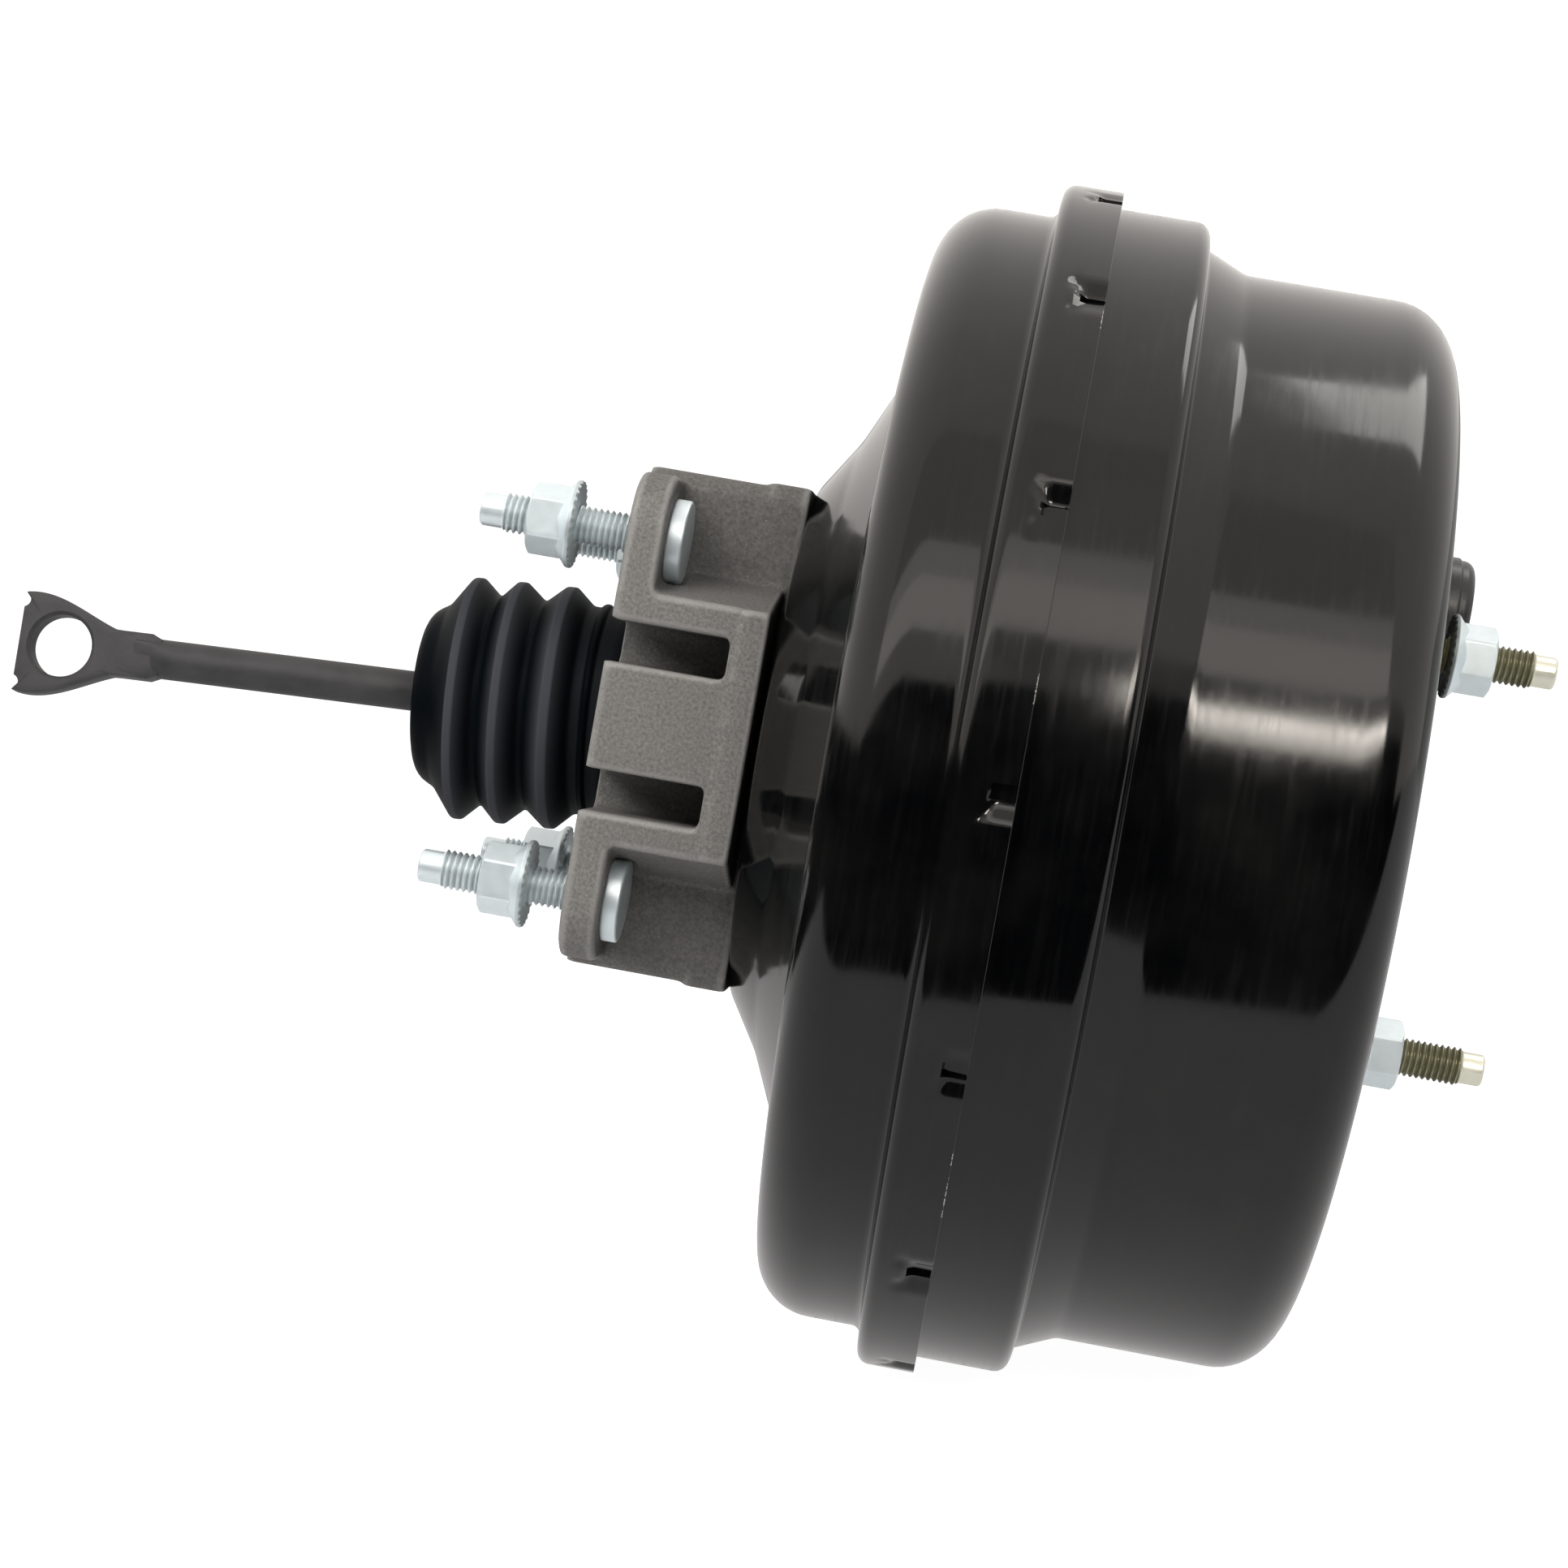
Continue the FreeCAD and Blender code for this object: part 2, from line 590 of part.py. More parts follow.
def make_bracket():
    """Cast spacer between the rear shell and the firewall."""
    body = block(0, HUB_FACE_X, -BODY_HALF_Y, BODY_HALF_Y, -BODY_HALF_Z, BODY_HALF_Z)
    body = body.makeFillet(EDGE_ROUND, [e for e in body.Edges if abs(e.tangentAt(0).x) > 0.9])
    foot = block(FOOT_X, HUB_FACE_X, -BODY_HALF_Y, BODY_HALF_Y,
                 -BODY_HALF_Z - FOOT_RISE, BODY_HALF_Z + FOOT_RISE)
    foot = foot.makeFillet(EDGE_ROUND, [e for e in foot.Edges if abs(e.tangentAt(0).x) > 0.9])
    plate = block(0, PLATE_THICK, -PLATE_HALF_Y, PLATE_HALF_Y, -PLATE_HALF_Z, PLATE_HALF_Z)
    plate = plate.makeFillet(PLATE_CORNER, [e for e in plate.Edges if abs(e.tangentAt(0).x) > 0.9])
    plate = plate.makeFillet(1.0, [e for e in plate.Edges if abs(e.BoundBox.XLength) < 1e-6])
    solids = [foot, plate]
    windows = []
    for side in (-1, 1):
        y_root = side * (BODY_HALF_Y - 1)
        y_face = side * PLATE_HALF_Y
        frame = Part.Face(Part.makePolygon([
            V(0, y_root, FRAME_ROOT_HALF_Z), V(0, y_face, FRAME_HALF_Z),
            V(0, y_face, -FRAME_HALF_Z), V(0, y_root, -FRAME_ROOT_HALF_Z),
            V(0, y_root, FRAME_ROOT_HALF_Z)])).extrude(V(FRAME_END_X, 0, 0))
        lip_y = sorted((y_face - side, y_face + side * LIP_RISE))
        lip = block(LIP_X, FRAME_END_X, lip_y[0], lip_y[1], -FRAME_HALF_Z, FRAME_HALF_Z)
        solids += [frame, lip]
        for up in (-1, 1):
            z = sorted((up * BLOCK_HALF_Z, up * BAR_INNER_Z))
            y = sorted((side * WINDOW_FLOOR_Y, side * (PLATE_HALF_Y + 5)))
            window = block(-1, WINDOW_END_X, y[0], y[1], z[0], z[1])
            floor = [e for e in window.Edges if abs(e.tangentAt(0).x) > 0.9
                     and abs(abs(e.CenterOfMass.y) - WINDOW_FLOOR_Y) < 0.1]
            windows.append(window.makeFillet(2.5, floor))
    bracket = body.fuse(solids).cut(windows)
    holes = [rod(-1, HUB_FACE_X + 1, BRACKET_BORE_R),
             Part.makeCone(BRACKET_BORE_R, BRACKET_BORE_R + 2, 2, V(HUB_FACE_X - 1.8, 0, 0), AXIS)]
    for y, z in four(FIREWALL_Y, FIREWALL_Z):
        holes.append(rod(-1, PLATE_THICK + 1, STUD_R + PRESS_GAP, y, z))
        holes.append(rod(PLATE_THICK, PLATE_THICK + HEAD_T + 1, HEAD_R + LOOSE_GAP, y, z))
    for y, z in four(SHELL_STUD_Y, SHELL_STUD_Z):
        holes.append(rod(-1, HUB_FACE_X + 1, STUD_R + LOOSE_GAP, y, z))
        holes.append(rod(-1, COUNTERBORE_DEPTH, COUNTERBORE_R, y, z))
    return bracket.cut(holes).removeSplitter()


def make_firewall_studs():
    """Four studs headed in the bracket's pockets."""
    return group([stud(PLATE_THICK, FIREWALL_TIP_X, y, z, PLATE_THICK, PLATE_THICK + HEAD_T, HEAD_R)
                  for y, z in four(FIREWALL_Y, FIREWALL_Z)])


def make_firewall_nuts():
    """Four flange nuts, run part of the way up the firewall studs."""
    stations = {(-1, 1): -11.3, (-1, -1): -8.4, (1, -1): -12.0, (1, 1): -2.3}
    return group([flange_nut(x, side * FIREWALL_Y, up * FIREWALL_Z, -1)
                  for (side, up), x in stations.items()])


def make_shell_studs():
    """Four studs welded to the ring inside the rear shell."""
    root = HUB_FACE_X + SHELL_WALL + RING_T + FLAT_GAP / 2
    return group([stud(root + 2.5, 2.0, y, z, root, root + 2.5, 6.0)
                  for y, z in four(SHELL_STUD_Y, SHELL_STUD_Z)])


def make_shell_nuts():
    """Four nuts in the bracket's counterbores."""
    nuts = []
    for y, z in four(SHELL_STUD_Y, SHELL_STUD_Z):
        bar = hexagon(COUNTERBORE_DEPTH - SMALL_NUT_T, COUNTERBORE_DEPTH, NUT_FLATS)
        bar.translate(V(0, y, z))
        nuts.append(bar.cut(rod(-1, COUNTERBORE_DEPTH + 1, STUD_R + PRESS_GAP, y, z)))
    return group(nuts)


def make_rear_ring():
    """Reinforcement ring inside the rear shell's hub face."""
    x = HUB_FACE_X + SHELL_WALL + FLAT_GAP / 2
    ring = tube(x, x + RING_T - FLAT_GAP, STOP_R + 4.5, HUB_FLAT_R - 5)
    return ring.cut([rod(x - 1, x + RING_T + 1, STUD_R + PRESS_GAP, y, z)
                     for y, z in four(SHELL_STUD_Y, SHELL_STUD_Z)])


def pad_inner_x():
    """Inner face of the front shell's raised pad."""
    return FRONT_FACE_X + PAD_RISE - FRONT_WALL


def make_front_ring():
    """Reinforcement ring behind the master cylinder pad."""
    x = pad_inner_x() - FLAT_GAP / 2
    ring = tube(x - RING_T, x, PILOT_R + FRONT_WALL + 0.8, PAD_R - 3.5)
    return ring.cut([rod(x - RING_T - 1, x + 1, STUD_R + PRESS_GAP, 0, z)
                     for z in (MASTER_Z, -MASTER_Z)])


def make_master_studs():
    """Two studs that hold the master cylinder."""
    root = pad_inner_x() - RING_T - FLAT_GAP
    return group([stud(root, MASTER_TIP_X, 0, z, root - 2.5, root, 5.6)
                  for z in (MASTER_Z, -MASTER_Z)])


def make_master_nuts():
    """Two flange nuts on the master cylinder studs."""
    return group([flange_nut(167.3, 0, MASTER_Z, 1), flange_nut(162.8, 0, -MASTER_Z, 1)])


def make_reaction_disc():
    """Rubber disc between the plunger's nose and the output rod."""
    x = FRONT_BOSS_X - DISC_T - 7.0
    return rod(x + FLAT_GAP / 2, x + DISC_T - FLAT_GAP / 2, CUP_R - LOOSE_GAP)


def make_output_rod():
    """Headed output rod with a rounded tip, inside the pilot collar."""
    x = FRONT_BOSS_X - 7.0
    tip = FRONT_FACE_X + PAD_RISE - PILOT_DEPTH - 1.0
    return turned([(x, 0), (x, CUP_R - LOOSE_GAP, 0.5), (x + 3.5, CUP_R - LOOSE_GAP, 0.5),
                   (x + 3.5, 8.0), (x + 6, 6.0, 2), (tip - 14, 6.0), (tip - 14, 7.5), (tip - 8, 7.5),
                   (tip - 8, 4.5), (tip, 4.5, 3.5), (tip, 0)])


def make_output_retainer():
    """Toothed ring that keeps the output rod in its cup."""
    x = FRONT_BOSS_X - 7.0 + 3.5 + FLAT_GAP
    return tube(x, x + 1.2, 9.0, CUP_R - RUN_GAP)


def make_secondary_retainer():
    """Ring that clamps the front plate on the valve body."""
    x = hub_front_x() + FLAT_GAP / 2
    return turned([(x, FRONT_BOSS_R + RUN_GAP), (x, 25.5), (x + 1.5, 25.5, 0.5),
                   (x + 3, 22.5), (x + 3, FRONT_BOSS_R + RUN_GAP)])


def socket_centre():
    """Centre of the ball in the plunger's socket."""
    return V(BALL_X, 0, 0)


def make_plunger():
    """Air valve plunger: seat rim, ball socket, key groove and long nose."""
    nose = FRONT_BOSS_X - DISC_T - 7.0 - JUMP_GAP
    groove_x0 = KEY_X - VALVE_STROKE - RUN_GAP
    groove_x1 = KEY_X + KEY_T + RUN_GAP
    body = turned([
        (SEAT_X, 0), (SEAT_X, PLUNGER_HEAD_R), (BALL_X + 12, PLUNGER_HEAD_R, 1.5),
        (BALL_X + 12, PLUNGER_R), (groove_x0, PLUNGER_R), (groove_x0, 5.0), (groove_x1, 5.0),
        (groove_x1, PLUNGER_R), (nose, PLUNGER_R, 0.8), (nose, 0)])
    cavity = Part.makeSphere(BALL_R + SEAT_WALL + 2 * RUN_GAP, socket_centre())
    mouth = Part.makeCone(7.9, 6.6, BALL_X - SEAT_X - 2.0, V(SEAT_X, 0, 0), AXIS)
    return body.cut([cavity, mouth])


def make_ball_seat():
    """Nylon cup between the rod's ball and the plunger's socket."""
    outer = Part.makeSphere(BALL_R + SEAT_WALL + RUN_GAP, socket_centre())
    inner = Part.makeSphere(BALL_R + RUN_GAP, socket_centre())
    opening = rod(BALL_X - 10, BALL_X - 2.4, 12)
    return outer.cut([inner, opening])


def make_push_rod():
    """Forged rod with a ball, a round shank and a flattened pedal eye."""
    ball = Part.makeSphere(BALL_R, socket_centre())
    shank = turned([(BALL_X, 0), (BALL_X, ROD_NECK_R), (BALL_X - 11, ROD_NECK_R),
                    (BALL_X - 13, ROD_R), (BALL_X - EYE_DISTANCE + EYE_FLAT_LENGTH + 2, ROD_R),
                    (BALL_X - EYE_DISTANCE + EYE_FLAT_LENGTH - 5, EYE_THICK / 2 - 0.4),
                    (BALL_X - EYE_DISTANCE + EYE_FLAT_LENGTH - 5, 0)])
    eye_x = BALL_X - EYE_DISTANCE
    end_x = eye_x - EYE_END
    upper = Part.BSplineCurve()
    upper.interpolate([V(end_x, 0, EYE_HALF_HEIGHT), V(eye_x - 3, 0, EYE_HALF_HEIGHT - 0.1),
                       V(eye_x + 3, 0, EYE_HALF_HEIGHT - 2.1), V(eye_x + 7.5, 0, EYE_NECK_HALF + 2.0),
                       V(eye_x + 11.6, 0, EYE_NECK_HALF)])
    lower = upper.copy()
    lower.mirror(CENTRE, AXIS)
    flat_x = eye_x + EYE_FLAT_LENGTH
    outline = [
        upper.toShape(), lower.toShape(),
        Part.makeLine(V(end_x, 0, -EYE_HALF_HEIGHT), V(end_x, 0, EYE_HALF_HEIGHT)),
        Part.makeLine(V(eye_x + 11.6, 0, EYE_NECK_HALF), V(flat_x, 0, EYE_NECK_HALF)),
        Part.makeLine(V(flat_x, 0, EYE_NECK_HALF), V(flat_x + 2.2, 0, ROD_R - 0.6)),
        Part.makeLine(V(flat_x + 2.2, 0, ROD_R - 0.6), V(flat_x + 2.2, 0, 0.6 - ROD_R)),
        Part.makeLine(V(flat_x + 2.2, 0, 0.6 - ROD_R), V(flat_x, 0, -EYE_NECK_HALF)),
        Part.makeLine(V(flat_x, 0, -EYE_NECK_HALF), V(eye_x + 11.6, 0, -EYE_NECK_HALF))]
    face = Part.Face(Part.Wire(Part.__sortEdges__(outline)))
    plate = face.extrude(V(0, EYE_THICK, 0))
    plate.translate(V(0, -EYE_THICK / 2, 0))
    notch_z = EYE_HALF_HEIGHT - 1.6
    notches = [Part.makeCylinder(1.7, EYE_THICK + 2, V(end_x - 0.5, -EYE_THICK / 2 - 1, up * notch_z),
                                 V(0, 1, 0)) for up in (-1, 1)]
    hole = Part.makeCylinder(EYE_HOLE_R, EYE_THICK + 2, V(eye_x, -EYE_THICK / 2 - 1, 0), V(0, 1, 0))
    sinks = [Part.makeCone(EYE_HOLE_R + EYE_HOLE_CHAMFER, EYE_HOLE_R, EYE_HOLE_CHAMFER,
                           V(eye_x, side * EYE_THICK / 2, 0), V(0, -side, 0)) for side in (-1, 1)]
    plate = plate.cut(notches + [hole] + sinks)
    plate.rotate(V(eye_x, 0, 0), AXIS, -EYE_ROLL)
    whole = ball.fuse([shank, plate])
    return droop(whole, BALL_X, ROD_DROOP)


def make_rod_collar():
    """Washer on the rod that carries its return spring."""
    x = BALL_X - 41.0
    collar = turned([(x, ROD_R + PRESS_GAP), (x, 7.0), (x + 1.2, 9.2), (x + 2.4, 9.2), (x + 2.4, 7.6),
                     (x + 1.6, 7.6), (x + 1.6, ROD_R + PRESS_GAP)])
    return droop(collar, BALL_X, ROD_DROOP)


def make_poppet():
    """Rubber poppet valve: sealing face, bellows and clamped rim."""
    face = SEAT_X - FLAT_GAP / 2
    return turned([
        (face, 7.2), (face, NECK_IN_R - 0.6, 0.4), (face - 2.2, NECK_IN_R - 0.6, 0.4),
        (face - 2.2, 10.6), (face - 7, 10.0), (face - 11, 11.0), (face - 11, NECK_IN_R - RUN_GAP),
        (face - 13, NECK_IN_R - RUN_GAP), (face - 13, 9.9), (face - 7, 8.9), (face - 2.2, 9.4),
        (face - 2.2, 7.2)])


def make_poppet_retainer():
    """Pressed sleeve that holds the poppet's rim and carries two springs."""
    x = SEAT_X - 13 - FLAT_GAP
    return turned([(x, 8.0), (x, NECK_IN_R - RUN_GAP), (x - 6, NECK_IN_R - RUN_GAP),
                   (x - 6, NECK_IN_R - 1.1), (x - 1.1, NECK_IN_R - 1.1), (x - 1.1, 8.0)])


def make_poppet_spring():
    """Light spring that pushes the poppet's face forward."""
    x0 = SEAT_X - 13 - FLAT_GAP / 2
    return coil(x0 + 0.3, SEAT_X - 2.3, 8.0, 8.0, 0.5, 4)


def make_rod_spring():
    """Spring between the retainer and the push rod's collar."""
    return coil(BALL_X - 38.2, SEAT_X - 14.3, 8.4, 9.6, 0.7, 4)


def make_silencer():
    """Felt ring behind the filter."""
    return tube(NECK_END_X + 5.1, NECK_END_X + 8, 8.6, NECK_IN_R - RUN_GAP)


def make_filter():
    """Foam air filter in the mouth of the neck."""
    return tube(NECK_END_X + 0.8, NECK_END_X + 5, 9.2, NECK_IN_R - RUN_GAP)


def make_key():
    """Forked key that holds the plunger in the valve body."""
    plate = block(KEY_X, KEY_X + KEY_T, -STOP_R + 0.4, 0, -PLUNGER_R + 0.8, PLUNGER_R - 0.8)
    fork = rod(KEY_X - 1, KEY_X + KEY_T + 1, 5.0 + RUN_GAP)
    opening = block(KEY_X - 1, KEY_X + KEY_T + 1, 0, 12, -5.0 - RUN_GAP, 5.0 + RUN_GAP)
    return plate.cut([fork, opening])


def make_return_spring():
    """Piston return spring between the front ring and the secondary plate."""
    return coil(hub_front_x() + 0.05, pad_inner_x() - RING_T - 0.2, 31.0, 33.5, 2.0, 5)


def make_boot():
    """Dust boot: cuff on the shell's neck, three folds and a domed end."""
    def folds(shift, wall):
        peak1 = BOOT_FIRST_PEAK
        peak2 = peak1 + BOOT_PITCH_NEAR
        peak3 = peak2 + BOOT_PITCH_FAR
        valley = BOOT_VALLEY_R - wall
        peak = BOOT_PEAK_R - wall
        x = BOOT_PIVOT_X
        return turned([
            (x - 4 + shift, 0), (x - 4 + shift, valley), (x - 7.6, valley, 2),
            (x - 9.4, valley + 0.2, 2), (x - peak1 + 1.6, peak, 1.8), (x - peak1 - 1.6, peak, 1.8),
            (x - peak1 - 5.4, valley, 1.2), (x - peak2 + 1.2, peak, 1.4),
            (x - peak2 - 0.9, peak, 1.4), (x - peak2 - 4.4, valley, 1.2),
            (x - peak3 + 1.0, peak, 1.3), (x - peak3 - 1.0, peak, 1.3),
            (x - peak3 - 5.2, BOOT_VALLEY_R - 2.2 - wall, 4), (x - BOOT_END + wall, 17.2 - wall, 5),
            (x - BOOT_END + wall, 0)])
    hang = BOOT_DROOP
    outer = droop(folds(0, 0), BOOT_PIVOT_X, hang)
    inner = droop(folds(0, BOOT_WALL), BOOT_PIVOT_X, hang)
    cuff_out = rod(-8.0, CUFF_END_X, HUB_NECK_R + RUN_GAP + BOOT_WALL)
    cuff_in = rod(-6.0, CUFF_END_X + 1, HUB_NECK_R + RUN_GAP)
    boot = outer.fuse(cuff_out).cut([inner, cuff_in])
    exit_hole = droop(rod(BALL_X - 80, BALL_X - 20, ROD_R + RUN_GAP), BALL_X, ROD_DROOP)
    return boot.cut(exit_hole).removeSplitter()


def make_grommet():
    """Rubber grommet in the front shell's vacuum hole."""
    x = FRONT_FACE_X
    ring = turned([
        (x - FRONT_WALL - 2.5, 6.1), (x - FRONT_WALL - 2.5, 8.6, 0.6),
        (x - FRONT_WALL - FLAT_GAP, 9.8, 0.5), (x - FRONT_WALL - FLAT_GAP, VALVE_HOLE_R - RUN_GAP),
        (x + FLAT_GAP, VALVE_HOLE_R - RUN_GAP), (x + FLAT_GAP, GROMMET_R, 0.8),
        (x + GROMMET_T, GROMMET_R, 1.2), (x + GROMMET_T, 6.1)])
    ring.translate(V(0, VALVE_Y, VALVE_Z))
    return ring


def make_check_body():
    """Check valve housing: spigot in the grommet, round chamber and side nipple."""
    x0 = FRONT_FACE_X + GROMMET_T + FLAT_GAP / 2
    spigot_x = FRONT_FACE_X - FRONT_WALL - 5
    chamber = turned([
        (spigot_x, 3.5), (spigot_x, 5.6, 0.5), (x0, 6.0), (x0, HOUSING_R - 0.8, 0.6),
        (x0 + 1.2, HOUSING_R, 0.8), (HOUSING_END_X, HOUSING_R, 2.2), (HOUSING_END_X, 0),
        (HOUSING_END_X - 1.6, 0), (HOUSING_END_X - 1.6, CHECK_R + 1.2),
        (x0 + 1.8, CHECK_R + 1.2), (x0 + 1.8, 3.5)])
    chamber.translate(V(0, VALVE_Y, VALVE_Z))
    start = V(ELBOW_X, VALVE_Y, VALVE_Z)
    barrel = Part.makeCylinder(ELBOW_R, BARREL_LENGTH, start, V(0, 1, 0)).fuse(Part.makeSphere(ELBOW_R, start))
    barrel = barrel.cut(block(FRONT_FACE_X - 5, x0, 0, NIPPLE_END_Y, 0, 2 * VALVE_Z))
    root = V(ELBOW_X, VALVE_Y + BARREL_LENGTH - 1, VALVE_Z)
    nipple = Part.makeCylinder(NIPPLE_R, NIPPLE_END_Y - 1 - root.y, root, V(0, 1, 0))
    mouth = Part.makeCone(NIPPLE_R, NIPPLE_R - 0.8, 1, V(ELBOW_X, NIPPLE_END_Y - 1, VALVE_Z), V(0, 1, 0))
    bore = Part.makeCylinder(NIPPLE_BORE_R, NIPPLE_END_Y, start, V(0, 1, 0))
    room = rod(x0 + 1.8, HOUSING_END_X - 1.6, CHECK_R + 1.2, VALVE_Y, VALVE_Z)
    spigot = rod(spigot_x - 1, x0 + 2, 3.5, VALVE_Y, VALVE_Z)
    body = chamber.fuse([barrel, nipple, mouth])
    return body.cut([bore, room, spigot]).removeSplitter()


def make_check_disc():
    """Moving disc of the check valve, resting on its seat."""
    x = FRONT_FACE_X + GROMMET_T + 1.8 + FLAT_GAP
    return rod(x, x + 1.4, CHECK_R, VALVE_Y, VALVE_Z)


def make_check_spring():
    """Light spring on the check valve's disc."""
    x = FRONT_FACE_X + GROMMET_T + 1.8 + FLAT_GAP + 1.4
    spring = coil(x + 0.05, HOUSING_END_X - 1.7, 3.4, 3.4, 0.35, 3)
    spring.translate(V(0, VALVE_Y, VALVE_Z))
    return spring


NODES = {
    "rear_shell": make_rear_shell,
    "front_shell": make_front_shell,
    "centre_divider": make_divider,
    "divider_seal": make_divider_seal,
    "primary_diaphragm": make_primary_diaphragm,
    "primary_plate": make_primary_plate,
    "secondary_diaphragm": make_secondary_diaphragm,
    "secondary_plate": make_secondary_plate,
    "valve_body": make_valve_body,
    "rear_bearing": make_rear_bearing,
    "rear_seal": make_rear_seal,
    "mounting_bracket": make_bracket,
    "firewall_studs": make_firewall_studs,
    "firewall_nuts": make_firewall_nuts,
    "shell_studs": make_shell_studs,
    "shell_nuts": make_shell_nuts,
    "rear_reinforcement_ring": make_rear_ring,
    "front_reinforcement_ring": make_front_ring,
    "master_cylinder_studs": make_master_studs,
    "master_cylinder_nuts": make_master_nuts,
    "reaction_disc": make_reaction_disc,
    "output_rod": make_output_rod,
    "output_rod_retainer": make_output_retainer,
    "secondary_retainer": make_secondary_retainer,
    "valve_plunger": make_plunger,
    "rod_ball_seat": make_ball_seat,
    "push_rod": make_push_rod,
    "rod_spring_collar": make_rod_collar,
    "poppet_valve": make_poppet,
    "poppet_retainer": make_poppet_retainer,
    "poppet_spring": make_poppet_spring,
    "rod_return_spring": make_rod_spring,
    "silencer": make_silencer,
    "air_filter": make_filter,
    "valve_key": make_key,
    "return_spring": make_return_spring,
    "dust_boot": make_boot,
    "vacuum_grommet": make_grommet,
    "check_valve_body": make_check_body,
    "check_valve_disc": make_check_disc,
    "check_valve_spring": make_check_spring,
}

for name, make in NODES.items():
    make().exportStep("parts/" + name + ".step")
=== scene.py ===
"""Looks of a vacuum brake booster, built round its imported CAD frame.

Lengths in this file are millimetres. A mesh is written in metres, in the frame
of the CAD: X along the booster's axis, Z up, origin in the bracket's rear face.
"""
import logging
import math
from dataclasses import dataclass
from enum import Enum
from itertools import product
from typing import Any

import bpy
import numpy as np
from bpy.types import Material, Mesh, Object
from mathutils import Matrix, Vector


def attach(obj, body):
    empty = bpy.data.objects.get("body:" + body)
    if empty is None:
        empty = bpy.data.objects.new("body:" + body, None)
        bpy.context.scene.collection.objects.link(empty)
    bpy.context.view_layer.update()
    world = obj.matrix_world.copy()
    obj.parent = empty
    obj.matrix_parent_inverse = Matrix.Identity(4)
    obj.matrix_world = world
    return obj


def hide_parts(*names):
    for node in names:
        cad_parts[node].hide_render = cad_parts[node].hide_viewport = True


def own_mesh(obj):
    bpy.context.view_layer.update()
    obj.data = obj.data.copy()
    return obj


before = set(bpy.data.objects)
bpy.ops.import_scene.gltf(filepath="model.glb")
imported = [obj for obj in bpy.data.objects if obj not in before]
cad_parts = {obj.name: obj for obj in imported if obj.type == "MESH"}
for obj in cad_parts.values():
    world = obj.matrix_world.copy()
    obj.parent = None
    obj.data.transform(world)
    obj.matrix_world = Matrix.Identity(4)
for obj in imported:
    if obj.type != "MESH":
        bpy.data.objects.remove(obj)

logging.basicConfig(level=logging.INFO, format="%(message)s")
LOG = logging.getLogger("booster")
METRES = 0.001
LEAST_ARC = 0.2
Points = np.ndarray
Colour = tuple[float, float, float]
Corners = list[tuple[float, ...]]


class Body(str, Enum):
    """The CAD bodies that pieces ride on."""

    HOUSING = "housing"
    PEDAL_ROD = "pedal_rod"


class Slot(str, Enum):
    """The record's material slots."""

    PAINT = "black_paint"
    CAST = "cast_aluminium"
    ZINC = "zinc"
    YELLOW = "yellow_zinc"
    RUBBER = "black_rubber"
    PHOSPHATE = "phosphated_steel"
    STEEL = "steel"
    MOULDED = "moulded_plastic"
    PLASTIC = "black_plastic"
    FELT = "felt"


class Wire:
    """A shader socket that takes arithmetic."""

    def __init__(self, graph: "Graph", socket: bpy.types.NodeSocket) -> None:
        """Hold one output socket and the graph that it belongs to."""
        self.graph = graph
        self.socket = socket

    def _math(self, operation: str, first: Any, second: Any) -> "Wire":
        """Add one Math node."""
        return self.graph.node("ShaderNodeMath", {0: first, 1: second}, operation=operation)

    def __add__(self, other: Any) -> "Wire":
        """Sum."""
        return self._math("ADD", self, other)

    def __sub__(self, other: Any) -> "Wire":
        """Difference."""
        return self._math("SUBTRACT", self, other)

    def __rsub__(self, other: Any) -> "Wire":
        """Difference from a value on the left."""
        return self._math("SUBTRACT", other, self)

    def __mul__(self, other: Any) -> "Wire":
        """Product."""
        return self._math("MULTIPLY", self, other)

    __radd__ = __add__
    __rmul__ = __mul__


